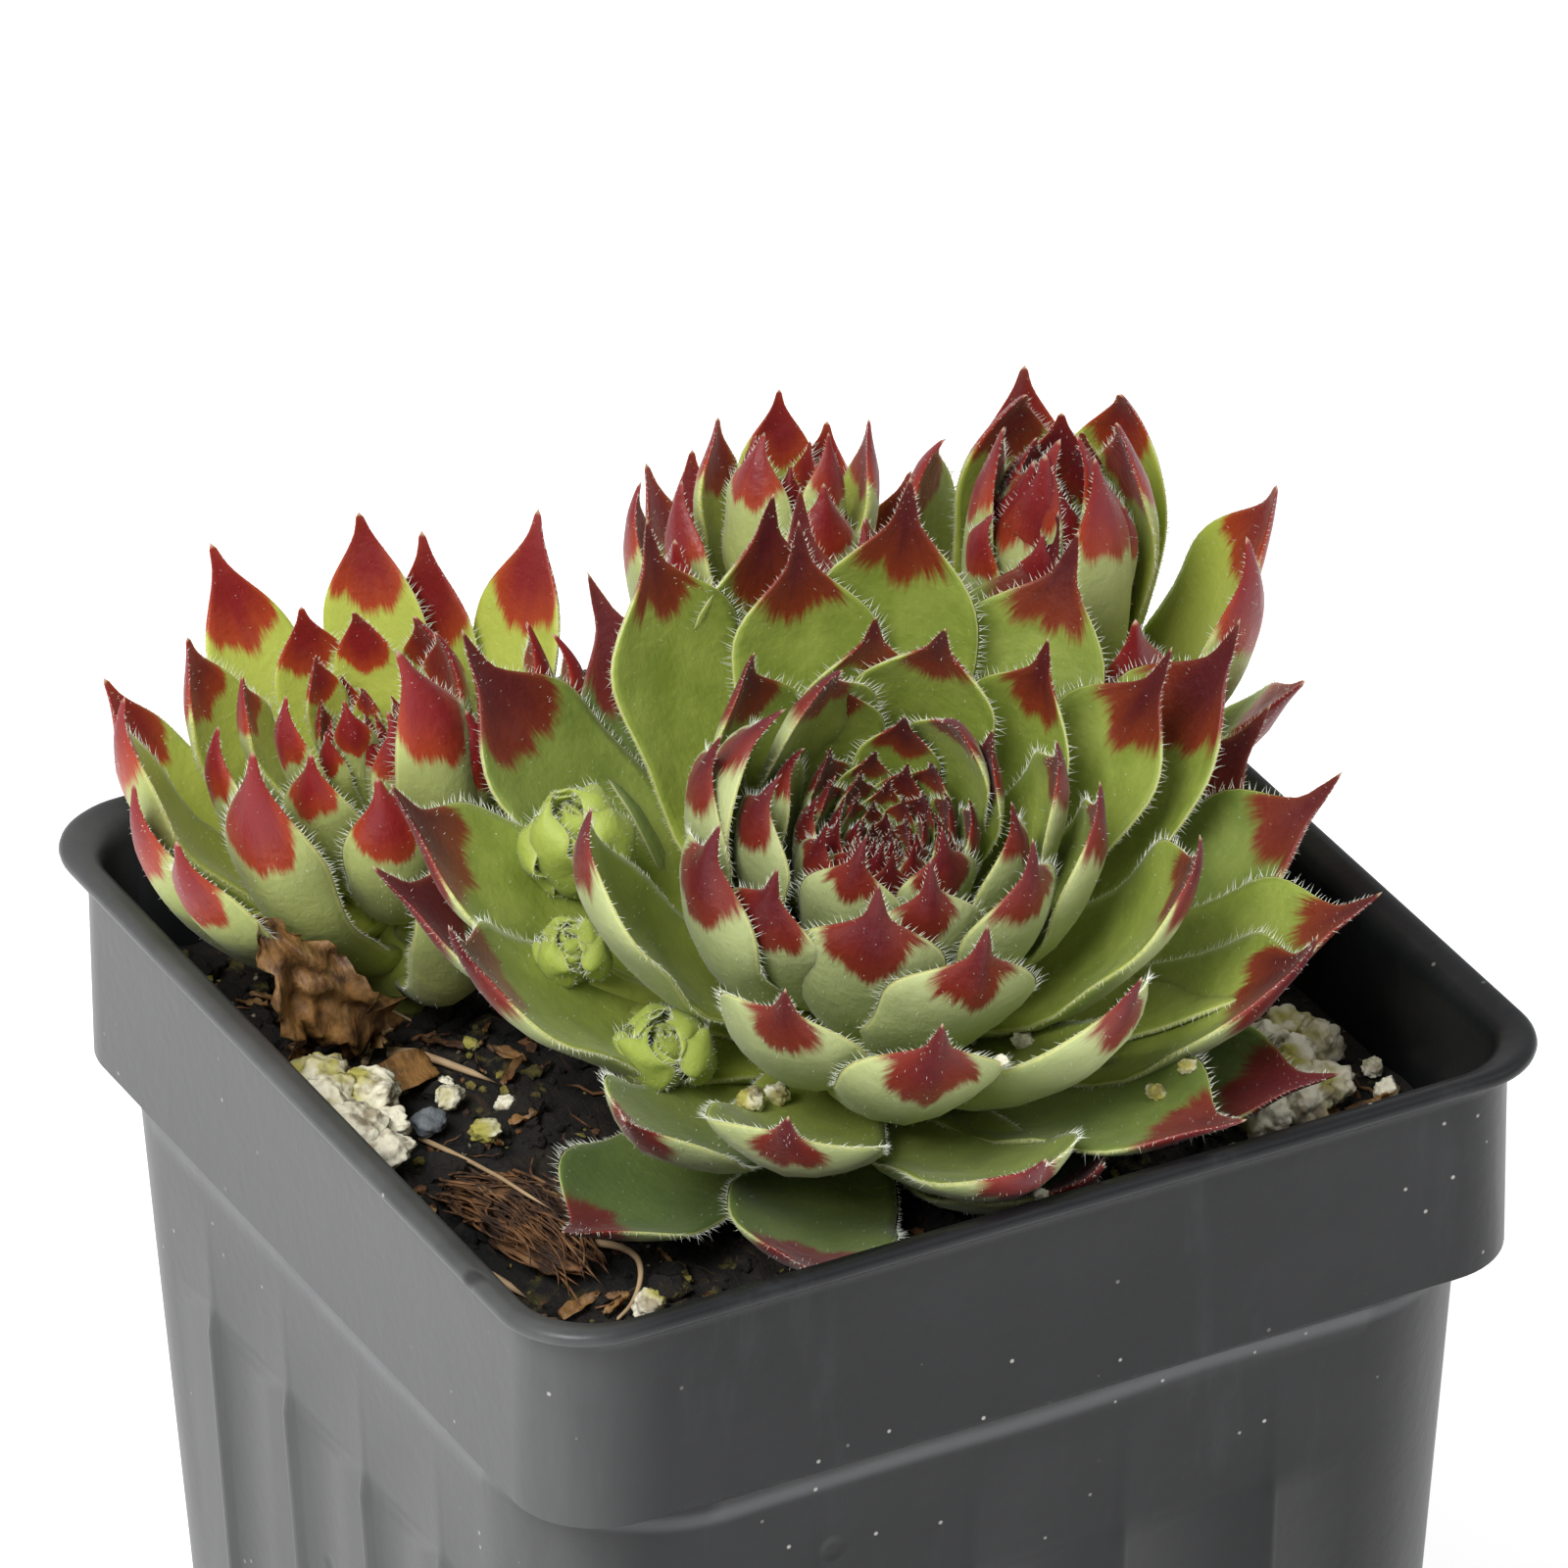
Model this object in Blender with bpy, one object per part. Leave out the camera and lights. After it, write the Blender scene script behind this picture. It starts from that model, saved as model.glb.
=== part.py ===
# A houseleek in its square nursery pot: one large rosette, three offsets and three young buds,
# growing in dark potting soil with perlite, bark fibre and a few dry leaves.
# Metres, +Z up. The origin is the middle of the pot's base, on the ground.
# Lengths below are in millimetres and are turned into metres where the meshes are made.

import math
import random

import bmesh
import bpy
from mathutils import Matrix, Vector, noise
from mathutils.bvhtree import BVHTree

MM = 0.001
GAP = 0.3                     # clear space between touching pieces
SLIVER = 0.004                # points closer than this are one point
GOLDEN_ANGLE = 137.508        # turn from one leaf to the next

# Pot: a 3.5 inch square nursery pot, measured over its lip
POT_HEIGHT = 88.0
LIP_WIDTH = 90.0
LIP_THICKNESS = 1.4
LIP_OVERHANG = 1.8
LIP_RADIUS = 8.0
COLLAR_HEIGHT = 19.4
COLLAR_RADIUS = 7.2
STEP_INSET = 0.9
BODY_RADIUS = 14.0
BODY_TAPER = 0.05             # inward run of each side for each millimetre down
WALL = 1.3
FLOOR = 1.6
RIB_TOP = 33.0                # distance of the ribs' top ends below the rim
RIB_PROUD = 0.6
RIB_HALF_WIDTH = 0.9
RIB_PLACES = (-20.1, -6.7, 6.7, 20.1)
DRAIN_RADIUS = 4.0
DRAIN_OFFSET = 24.0
CORNER_STEPS = 5

# Soil
SOIL_DEPTH = 12.8             # mean distance of the surface below the rim
SOIL_DIP = 3.0                # hollow in the soil round each stem
SOIL_CELLS = 16

# Rosettes: where each head's stem stands, and how far its hollow in the soil reaches
HEAD_BASE = POT_HEIGHT - 12.0
STEM_RADIUS = 2.6
STEM_DEPTH = 7.0
MAIN_FOOT = (2.3, -3.9)
LEFT_FOOT = (-20.3, 27.5)
MID_FOOT = (15.0, 32.0)
RIGHT_FOOT = (33.5, 21.6)
HOLLOWS = ((MAIN_FOOT, 13.0), (LEFT_FOOT, 8.0), (MID_FOOT, 8.0), (RIGHT_FOOT, 8.0))

collection = None


def clear_scene():
    for thing in list(bpy.data.objects):
        bpy.data.objects.remove(thing, do_unlink=True)


def make_material(name, color, roughness, subsurface=0.0):
    material = bpy.data.materials.new(name)
    material.use_nodes = True
    shader = material.node_tree.nodes["Principled BSDF"]
    shader.inputs["Base Color"].default_value = (*color, 1.0)
    shader.inputs["Roughness"].default_value = roughness
    shader.inputs["Metallic"].default_value = 0.0
    shader.inputs["Subsurface Weight"].default_value = subsurface
    return material


def add_object(name, vertices, faces, material):
    """A mesh object from points in millimetres, its faces turned outwards."""
    mesh = bpy.data.meshes.new(name)
    mesh.from_pydata([Vector(v) * MM for v in vertices], [], faces)
    work = bmesh.new()
    work.from_mesh(mesh)
    bmesh.ops.recalc_face_normals(work, faces=work.faces)
    work.to_mesh(mesh)
    work.free()
    mesh.materials.append(material)
    thing = bpy.data.objects.new(name, mesh)
    collection.objects.link(thing)
    return thing


def loft(rings, tip=None):
    """Vertices and faces that join rings of equal count, closed at both ends."""
    vertices = [point for ring in rings for point in ring]
    count = len(rings[0])
    faces = []
    for r in range(len(rings) - 1):
        low = r * count
        high = low + count
        for k in range(count):
            n = (k + 1) % count
            faces.append((low + k, low + n, high + n, high + k))
    last = (len(rings) - 1) * count
    if tip is None:
        faces.append(tuple(range(last, last + count)))
    else:
        vertices.append(tip)
        faces += [(last + k, last + (k + 1) % count, len(vertices) - 1) for k in range(count)]
    faces.append(tuple(reversed(range(count))))
    return vertices, faces


def freeze(thing):
    """Apply the object's modifiers to its own mesh."""
    graph = bpy.context.evaluated_depsgraph_get()
    mesh = bpy.data.meshes.new_from_object(thing.evaluated_get(graph))
    thing.modifiers.clear()
    old = thing.data
    thing.data = mesh
    bpy.data.meshes.remove(old)


def fuse(body, parts):
    """Join parts to the body as one solid and remove them."""
    group = bpy.data.collections.new(body.name + "_parts")
    bpy.context.scene.collection.children.link(group)
    for part in parts:
        collection.objects.unlink(part)
        group.objects.link(part)
    union = body.modifiers.new("union", "BOOLEAN")
    union.operation = "UNION"
    union.operand_type = "COLLECTION"
    union.collection = group
    union.solver = "MANIFOLD"
    freeze(body)
    keep_largest(body)
    for part in parts:
        bpy.data.objects.remove(part, do_unlink=True)
    bpy.data.collections.remove(group)


def keep_largest(thing):
    """Fill the hollows that a union sealed, and drop its loose scraps."""
    work = bmesh.new()
    work.from_mesh(thing.data)
    bmesh.ops.remove_doubles(work, verts=work.verts, dist=SLIVER * MM)
    bmesh.ops.dissolve_degenerate(work, edges=work.edges, dist=SLIVER * MM)
    bmesh.ops.triangulate(work, faces=work.faces)
    todo = set(work.faces)
    shells = []
    while todo:
        front = [todo.pop()]
        shell = set(front)
        while front:
            for edge in front.pop().edges:
                if len(edge.link_faces) != 2:
                    continue
                for face in edge.link_faces:
                    if face in todo:
                        todo.discard(face)
                        shell.add(face)
                        front.append(face)
        shells.append(shell)
    shells.sort(key=len)
    for shell in shells[:-1]:
        bmesh.ops.delete(work, geom=list(shell), context="FACES")
    work.to_mesh(thing.data)
    work.free()


def cut(body, cutter):
    """Take the cutter out of the body and remove the cutter."""
    difference = body.modifiers.new("cut", "BOOLEAN")
    difference.operation = "DIFFERENCE"
    difference.object = cutter
    difference.solver = "EXACT"
    freeze(body)
    bpy.data.objects.remove(cutter, do_unlink=True)


def merge_flat_faces(thing):
    """Join neighbouring faces that lie in one plane."""
    work = bmesh.new()
    work.from_mesh(thing.data)
    bmesh.ops.dissolve_limit(work, angle_limit=math.radians(0.05), verts=work.verts,
                             edges=work.edges)
    bmesh.ops.triangulate(work, faces=work.faces)
    work.to_mesh(thing.data)
    work.free()


# Pot

def pot_ring(half, radius, height, rib=0.0):
    """Rounded square outline, with points for the ribs along each side."""
    points = []
    for side in range(4):
        turn = Matrix.Rotation(side * math.pi / 2, 3, "Z")
        outline = []
        for place in RIB_PLACES:
            for shift, rise in ((-RIB_HALF_WIDTH, 0.0), (0.0, rib), (RIB_HALF_WIDTH, 0.0)):
                outline.append(Vector((half + rise, place + shift, height)))
        for step in range(CORNER_STEPS + 1):
            angle = math.pi / 2 * step / CORNER_STEPS
            reach = half - radius
            x = reach + radius * math.cos(angle)
            y = reach + radius * math.sin(angle)
            outline.append(Vector((x, y, height)))
        points += [turn @ point for point in outline]
    return points


def body_half(below_rim):
    """Half width of the pot's outer wall below its collar."""
    step_half = LIP_WIDTH / 2 - LIP_OVERHANG - STEP_INSET
    return step_half - BODY_TAPER * (below_rim - COLLAR_HEIGHT)


def inner_half(below_rim):
    """Half width of the pot's inner wall."""
    if below_rim < COLLAR_HEIGHT:
        return LIP_WIDTH / 2 - LIP_OVERHANG - WALL
    return body_half(below_rim) - WALL


def make_pot(material):
    collar_half = LIP_WIDTH / 2 - LIP_OVERHANG
    lip_half = LIP_WIDTH / 2
    under_lip = POT_HEIGHT - LIP_THICKNESS
    step = POT_HEIGHT - COLLAR_HEIGHT
    rib_top = POT_HEIGHT - RIB_TOP
    base_half = body_half(POT_HEIGHT)
    rings = [
        pot_ring(base_half - 1.0, BODY_RADIUS - 1.0, 0.0),
        pot_ring(base_half, BODY_RADIUS, 1.2, RIB_PROUD),
        pot_ring(body_half(RIB_TOP + 2.5), BODY_RADIUS, rib_top - 2.5, RIB_PROUD),
        pot_ring(body_half(RIB_TOP), BODY_RADIUS, rib_top),
        pot_ring(body_half(COLLAR_HEIGHT), BODY_RADIUS, step - 0.5),
        pot_ring(collar_half, COLLAR_RADIUS, step + 0.5),
        pot_ring(collar_half, COLLAR_RADIUS, under_lip - 0.8),
        pot_ring(lip_half - 0.3, LIP_RADIUS, under_lip),
        pot_ring(lip_half, LIP_RADIUS, POT_HEIGHT - 0.5),
        pot_ring(lip_half - 0.6, LIP_RADIUS - 0.6, POT_HEIGHT),
        pot_ring(inner_half(0.0) + 0.5, COLLAR_RADIUS - WALL + 0.5, POT_HEIGHT),
        pot_ring(inner_half(0.0), COLLAR_RADIUS - WALL, POT_HEIGHT - 0.6),
        pot_ring(inner_half(0.0), COLLAR_RADIUS - WALL, step + 0.8),
        pot_ring(inner_half(COLLAR_HEIGHT), BODY_RADIUS - WALL, step - 0.9),
        pot_ring(inner_half(POT_HEIGHT - FLOOR), BODY_RADIUS - WALL, FLOOR),
    ]
    vertices, faces = loft(rings)
    pot = add_object("pot", vertices, faces, material)
    for sx in (-1, 1):
        for sy in (-1, 1):
            bpy.ops.mesh.primitive_cylinder_add(
                vertices=16, radius=DRAIN_RADIUS * MM, depth=6 * MM,
                location=(sx * DRAIN_OFFSET * MM, sy * DRAIN_OFFSET * MM, FLOOR * MM / 2))
            cut(pot, bpy.context.object)
    merge_flat_faces(pot)
    return pot


# Soil

def soil_height(x, y):
    """Height of the soil above the ground, before its small lumps."""
    height = POT_HEIGHT - SOIL_DEPTH
    height += 0.7 * noise.noise(Vector((x / 7.0, y / 7.0, 0.3)))
    height += 0.5 * noise.noise(Vector((x / 3.1, y / 3.1, 5.7)))
    for foot, reach in HOLLOWS:
        away = math.hypot(x - foot[0], y - foot[1])
        height -= SOIL_DIP * math.exp(-(away / reach) ** 2)
    return height


def make_soil(material, stems):
    """The fill of the pot, with a lumpy top and a plain hole for each stem."""
    top_half = inner_half(SOIL_DEPTH) - GAP
    base_half = inner_half(POT_HEIGHT - FLOOR) - GAP
    cells = SOIL_CELLS
    radius = COLLAR_RADIUS - WALL
    vertices = []
    faces = []
    for row in range(cells + 1):
        for column in range(cells + 1):
            u = 2 * column / cells - 1
            v = 2 * row / cells - 1
            # The grid's corners are drawn in to follow the pot's rounded ones.
            pull = 1 - (1 - 1 / math.sqrt(2)) * radius / top_half * (u * v) ** 8
            x = u * top_half * pull
            y = v * top_half * pull
            vertices.append(Vector((x, y, soil_height(x, y))))
    for row in range(cells):
        for column in range(cells):
            a = row * (cells + 1) + column
            faces.append((a, a + 1, a + cells + 2, a + cells + 1))
    edge = list(range(cells))
    edge += [row * (cells + 1) + cells for row in range(cells)]
    edge += [cells * (cells + 1) + cells - column for column in range(cells)]
    edge += [(cells - row) * (cells + 1) for row in range(cells)]
    for half, inset, height in (
            (top_half, radius, POT_HEIGHT - COLLAR_HEIGHT + 1.5),
            (inner_half(COLLAR_HEIGHT) - GAP, BODY_RADIUS, POT_HEIGHT - COLLAR_HEIGHT - 0.9),
            (base_half, BODY_RADIUS, FLOOR + GAP)):
        first = len(vertices)
        for index in edge:
            u = vertices[index].x / top_half
            v = vertices[index].y / top_half
            point = Vector((max(-1, min(1, u)) * half, max(-1, min(1, v)) * half, height))
            reach = half - inset
            over = Vector((max(0, abs(point.x) - reach), max(0, abs(point.y) - reach), 0))
            if over.x > 0 and over.y > 0:
                shrunk = over * (inset / over.length)
                point.x = math.copysign(reach + shrunk.x, point.x)
                point.y = math.copysign(reach + shrunk.y, point.y)
            vertices.append(point)
        ring = edge if first == (cells + 1) ** 2 else list(range(first - len(edge), first))
        for k in range(len(edge)):
            n = (k + 1) % len(edge)
            faces.append((ring[k], ring[n], first + n, first + k))
    faces.append(tuple(range(len(vertices) - len(edge), len(vertices))))
    soil = add_object("soil", vertices, faces, material)
    for foot in stems:
        drill_hole(soil, foot)
    return soil


def drill_hole(soil, foot):
    bottom = HEAD_BASE - STEM_DEPTH - GAP
    bpy.ops.mesh.primitive_cylinder_add(
        vertices=12, radius=(STEM_RADIUS + GAP) * MM, depth=2 * STEM_DEPTH * MM,
        location=(foot[0] * MM, foot[1] * MM, (bottom + STEM_DEPTH) * MM))
    cut(soil, bpy.context.object)


# Rosettes

class Rosette:
    """A head of leaves, numbered from the oldest, outside, to the youngest in the bud."""

    def __init__(self, name, foot, lean, core_height, core_radius, leaves, start, hand,
                 ages, rise, tip_rise, length, width, thickness, turns=None, lifts=None,
                 base=HEAD_BASE, shown=None, lost=()):
        self.name = name
        self.foot = foot
        self.lean = lean
        self.core_height = core_height
        self.core_radius = core_radius
        self.leaves = leaves
        self.start = start
        self.hand = hand
        self.ages = ages
        self.rise = rise
        self.tip_rise = tip_rise
        self.length = length
        self.width = width
        self.thickness = thickness
        self.turns = turns or {}
        self.lifts = lifts or {}
        self.base = base
        # Leaves are built up to this number, and the few in lost are passed over.
        self.shown = shown or leaves
        self.lost = lost

    def placement(self):
        axis = Vector((*self.lean, 1.0)).normalized()
        turn = Vector((0, 0, 1)).rotation_difference(axis).to_matrix().to_4x4()
        return Matrix.Translation(Vector((*self.foot, self.base))) @ turn


def between(value, knots, values):
    """Straight-line reading of a profile at value."""
    for k in range(len(knots) - 1):
        if value <= knots[k + 1]:
            part = (value - knots[k]) / (knots[k + 1] - knots[k])
            return values[k] + (values[k + 1] - values[k]) * max(0.0, part)
    return values[-1]


def blade_width(u):
    """Half width of a leaf at u along it: widest at two thirds, round shoulders, a cusp."""
    if u < WIDEST:
        return 0.56 + 0.44 * math.sin(max(0.0, u) / WIDEST * math.pi / 2) ** 1.2
    q = (u - WIDEST) / (1 - WIDEST)
    return max(0.0, 1 - q * q) ** 0.75 * (1 - 0.35 * q * q * (3 - 2 * q))


def blade_depth(u):
    """Thickness of a leaf along it, as a part of its greatest thickness."""
    return 0.28 + 0.72 * (1 - max(0.0, u) ** 2.2)


WIDEST = 0.64                 # where along it a leaf is widest
LEAF_STATIONS = (-0.08, 0.30, 0.64, 0.82, 0.93)
SMALL_STATIONS = (-0.08, 0.35, 0.66, 0.88)
BUD_STATIONS = (-0.10, 0.40, 0.78)
SECTION = ((1.0, 0.0), (0.0, 0.42), (-1.0, 0.0), (-0.5, -0.58), (0.5, -0.58))
SMALL_SECTION = ((1.0, 0.0), (0.0, 0.42), (-1.0, 0.0), (0.0, -0.58))
SMALL_LEAF = 27.0             # leaves shorter than this get the plainer section
BUD_LEAF = 15.0               # and those shorter than this, fewer sections as well
CUP = 0.30


class Leaf:
    """One leaf's centre line, in its rosette's own frame."""

    def __init__(self, rosette, number, draw):
        r = rosette
        inward = 1 - number / (r.leaves - 1)
        self.width = between(number, r.ages, r.width) * draw.uniform(0.97, 1.03)
        self.depth = between(number, r.ages, r.thickness)
        self.length = between(number, r.ages, r.length) * draw.uniform(0.985, 1.015)
        lift = r.lifts.get(number, (0, 0))
        self.rise = between(number, r.ages, r.rise) + lift[0] + draw.uniform(-1.2, 1.2)
        self.tip_rise = between(number, r.ages, r.tip_rise) + lift[1] + draw.uniform(-2, 2)
        turn = r.turns.get(number, 0) + draw.uniform(-1.2, 1.2)
        self.bearing = math.radians(r.start + r.hand * GOLDEN_ANGLE * number + turn)
        self.root_radius = r.core_radius * inward ** 0.7
        self.root_height = 1.5 + (r.core_height - 1.5) * (1 - inward ** 1.1)

    def frame(self, u):
        """Point, tangent and upper normal at u along the centre line."""
        start = math.radians(self.rise)
        end = math.radians(self.tip_rise)
        steps = 8
        reach = self.root_radius
        height = self.root_height
        for k in range(steps):
            angle = start + (end - start) * u * (k + 0.5) / steps
            reach += math.cos(angle) * self.length * u / steps
            height += math.sin(angle) * self.length * u / steps
        angle = start + (end - start) * max(0.0, u)
        out = Vector((math.cos(self.bearing), math.sin(self.bearing), 0))
        point = out * reach + Vector((0, 0, height))
        tangent = out * math.cos(angle) + Vector((0, 0, math.sin(angle)))
        normal = out * -math.sin(angle) + Vector((0, 0, math.cos(angle)))
        return point, tangent, normal

    def ring(self, u, section, swell):
        """Cross section at u: edges drawn up a little, back rounded, swollen all round."""
        point, tangent, normal = self.frame(u)
        side = tangent.cross(normal)
        half = self.width / 2 * blade_width(u)
        depth = self.depth * blade_depth(u) + 2 * swell
        ring = []
        for across, up in section:
            cup = CUP * half * (across * across - 0.35)
            ring.append(point + side * ((half + swell) * across) + normal * (depth * up + cup))
        return ring

    def shape(self, place, swell=0.0):
        """Vertices and faces of the leaf in the pot's frame, fewer on a small one."""
        section = SMALL_SECTION if self.length < SMALL_LEAF else SECTION
        stations = LEAF_STATIONS
        if self.length < BUD_LEAF:
            stations = BUD_STATIONS
        elif self.length < SMALL_LEAF:
            stations = SMALL_STATIONS
        rings = [[place @ p for p in self.ring(u, section, swell)] for u in stations]
        point, ahead, _ = self.frame(1.0)
        return loft(rings, tip=place @ (point + ahead * swell))


def tree_of(thing):
    """The object's surface, in millimetres, for finding what crosses it."""
    vertices = [vertex.co / MM for vertex in thing.data.vertices]
    faces = [tuple(face.vertices) for face in thing.data.polygons]
    return BVHTree.FromPolygons(vertices, faces)


def clear(leaf, place, standing):
    """Whether the leaf, with a gap all round it, crosses nothing that stands near."""
    tree = BVHTree.FromPolygons(*leaf.shape(place, GAP))
    return not any(tree.overlap(other) for other in standing)


def settle(leaf, place, standing):
    """Bend or turn a leaf clear of what stands round it, its tip moved as little as will do."""
    if clear(leaf, place, standing):
        return
    rise, tip_rise, bearing = leaf.rise, leaf.tip_rise, leaf.bearing
    home = leaf.frame(1.0)[0]
    ways = []
    for lift in range(-12, 45, 4):
        for tip_lift in range(-40, 41, 8):
            for turn in range(-18, 19, 6):
                way = (min(rise + lift, 94), min(tip_rise + tip_lift, 114),
                       bearing + math.radians(turn))
                leaf.rise, leaf.tip_rise, leaf.bearing = way
                moved = (leaf.frame(1.0)[0] - home).length
                curled_out = max(0.0, way[0] - way[1] - 5)
                effort = abs(lift) + abs(tip_lift) + abs(turn) + 3 * curled_out
                ways.append((moved + 0.05 * effort, way))
    ways.sort()
    for shrink in (1.0, 0.9, 0.9):
        leaf.length *= shrink
        leaf.width *= shrink
        for _, way in ways:
            leaf.rise, leaf.tip_rise, leaf.bearing = way
            if clear(leaf, place, standing):
                return


def make_core(rosette, material):
    """The stem, upright in its hole, and the leaning core that the leaves stand on."""
    r = rosette
    place = r.placement()
    foot = Matrix.Translation(Vector((*r.foot, r.base)))
    outline = [(foot, STEM_RADIUS, -STEM_DEPTH), (foot, STEM_RADIUS, -0.8)]
    for step in range(5):
        inward = 1 - step / 5
        height = 1.5 + (r.core_height - 1.5) * (1 - inward ** 1.1)
        outline.append((place, r.core_radius * inward ** 0.7 + 0.5, height))
    rings = []
    for frame, radius, height in outline:
        rings.append([frame @ round_point(k / 10, radius, height) for k in range(10)])
    vertices, faces = loft(rings, tip=place @ Vector((0, 0, r.core_height)))
    return add_object(r.name, vertices, faces, material)


def round_point(share, radius, height):
    angle = 2 * math.pi * share
    return Vector((radius * math.cos(angle), radius * math.sin(angle), height))


def make_leaves(rosette, standing, material):
    draw = random.Random(rosette.name)
    place = rosette.placement()
    leaves = []
    for number in range(rosette.shown):
        leaf = Leaf(rosette, number, draw)
        if number in rosette.lost:
            continue
        settle(leaf, place, standing)
        vertices, faces = leaf.shape(place)
        leaves.append(add_object(f"{rosette.name}_{number}", vertices, faces, material))
    return leaves


def make_rosette(rosette, buds, standing, material):
    """A head of leaves as one solid, with the young buds that grow from its side."""
    core = make_core(rosette, material)
    parts = make_leaves(rosette, standing, material)
    for bud in buds:
        parts.append(make_stolon(rosette, bud, material))
        parts += make_leaves(bud, [], material)
    standing += [tree_of(part) for part in [core] + parts]
    fuse(core, parts)
    return core


def make_stolon(mother, bud, material):
    """The short runner from the mother's core, which ends in the bud's growing point."""
    start = Vector((*mother.foot, mother.base + 3.0))
    end = Vector((*bud.foot, bud.base))
    ahead = (end - start).normalized()
    side = ahead.cross(Vector((0, 0, 1))).normalized()
    up = side.cross(ahead)
    rings = []
    for share, radius in ((0.2, 1.1), (0.85, 1.1), (1.0, 1.5)):
        centre = start.lerp(end, share) - Vector((0, 0, 4 * share * (1 - share)))
        rings.append([centre + side * p.x + up * p.y
                      for p in (round_point(k / 6, radius, 0) for k in range(6))])
    tip = bud.placement() @ Vector((0, 0, bud.core_height))
    vertices, faces = loft(rings, tip=tip)
    return add_object(bud.name, vertices, faces, material)


def rosettes():
    return [
        Rosette("rosette_main", MAIN_FOOT, (-0.04, -0.34), 21.0, 6.0, 72, 275.2, 1,
                ages=(0, 12, 24, 36, 48, 60, 71),
                rise=(20, 18, 22, 35, 38, 55, 80),
                tip_rise=(28, 54, 72, 90, 100, 100, 92),
                length=(34, 39.5, 39, 30, 25, 16, 8),
                width=(13, 13.5, 13.5, 12, 9.5, 5.5, 2.4),
                thickness=(2.2, 2.6, 2.6, 2.3, 1.9, 1.4, 0.9),
                turns={2: 15, 3: -15, 4: -5, 5: -8, 6: -15, 8: -6, 17: -9, 20: 9, 24: -9,
                       25: -9, 27: 6, 28: 6, 29: 14, 31: 6, 32: 12, 33: 15, 34: -9, 40: 6,
                       46: -9, 48: -15},
                lifts={0: (12, 12), 2: (-4, -4), 4: (12, 0), 10: (4, 4), 17: (2, 24),
                       20: (-10, -10), 21: (8, 8), 22: (8, 16), 24: (-6, -26), 27: (0, -12),
                       31: (-4, -8), 32: (-8, -16), 33: (8, 30), 35: (8, 16), 38: (18, 18),
                       40: (-8, -12), 44: (-4, -8), 46: (-4, -12), 48: (8, 16)},
                shown=57, lost=(23,)),
        Rosette("rosette_left", LEFT_FOOT, (-0.19, -0.08), 17.8, 4.5, 30, 129.9, 1,
                ages=(0, 8, 16, 24, 29),
                rise=(31, 32, 30, 52, 80),
                tip_rise=(79, 92, 94, 93, 92),
                length=(29.5, 31, 20, 17, 9),
                width=(9.5, 10.5, 8.5, 6.0, 3.0),
                thickness=(2.6, 2.6, 2.2, 1.8, 1.1),
                turns={5: -6, 6: -22, 7: 9, 8: 16, 10: -6, 13: 9, 15: -12, 21: 12},
                lifts={5: (0, -12), 6: (8, 8), 7: (-4, -20), 9: (22, 17), 10: (0, -16),
                       11: (-18, -11), 15: (4, 16)}),
        Rosette("rosette_middle", MID_FOOT, (0.12, 0.10), 21.5, 3.8, 22, 113.9, -1,
                ages=(0, 8, 16, 21),
                rise=(55, 48, 63, 80),
                tip_rise=(84, 84, 96, 92),
                length=(27.5, 21, 19, 9),
                width=(9.0, 8.5, 6.5, 2.8),
                thickness=(2.4, 2.3, 1.9, 1.0),
                turns={3: 3},
                lifts={4: (4, 8), 8: (-12, -12)}),
        Rosette("rosette_right", RIGHT_FOOT, (-0.10, -0.28), 25.2, 4.5, 28, 152.3, 1,
                ages=(0, 8, 16, 24, 27),
                rise=(38, 53, 78, 68, 84),
                tip_rise=(69, 104, 106, 88, 92),
                length=(33, 34, 29, 14, 8),
                turns={1: 10},
                lifts={5: (0, 15), 8: (16, 7), 9: (-16, -12)},
                width=(10.0, 10.0, 8.0, 4.5, 2.6),
                thickness=(2.6, 2.6, 2.2, 1.6, 1.0)),
    ]


def young_buds():
    """Three hairy young offsets between the main head's leaves, on its left."""
    buds = []
    for name, foot, base, lean, size in (
            ("bud_front", (-15.0, -9.8), POT_HEIGHT - 3.0, (-0.5, -0.5), 1.0),
            ("bud_side", (-19.6, -2.9), POT_HEIGHT + 3.6, (-0.5, -0.4), 0.75),
            ("bud_back", (-14.2, 5.0), POT_HEIGHT + 6.0, (-0.4, -0.1), 1.15)):
        buds.append(Rosette(name, foot, lean, 2.5 * size, 1.2 * size, 5, 200.0, 1,
                            ages=(0, 4), rise=(50, 75), tip_rise=(150, 120),
                            length=(8.5 * size, 5.5 * size), width=(6.0 * size, 3.4 * size),
                            thickness=(1.5, 1.2), base=base))
    return buds


# Loose pieces on the soil

FINE_CRUMB = 4.7              # crumbs longer than this get more faces

def lump(name, place, size, turn, material):
    """A rounded crumb: a ball of few faces, pushed in and out by noise."""
    fineness = 2 if max(size) > FINE_CRUMB else 1
    bpy.ops.mesh.primitive_ico_sphere_add(subdivisions=fineness, radius=1.0)
    crumb = bpy.context.object
    spin = Matrix.Rotation(math.radians(turn), 3, "Z")
    for vertex in crumb.data.vertices:
        p = vertex.co.normalized()
        swell = 1 + 0.28 * noise.noise(p * 1.4 + Vector((place[0], place[1], 0)))
        p = spin @ Vector((p.x * size[0], p.y * size[1], p.z * size[2])) * (swell / 2)
        vertex.co = (p + Vector((*place, soil_height(*place) + size[2] * 0.2))) * MM
    crumb.name = name
    crumb.data.materials.append(material)
    for owner in list(crumb.users_collection):
        owner.objects.unlink(crumb)
    collection.objects.link(crumb)
    return crumb


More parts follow.
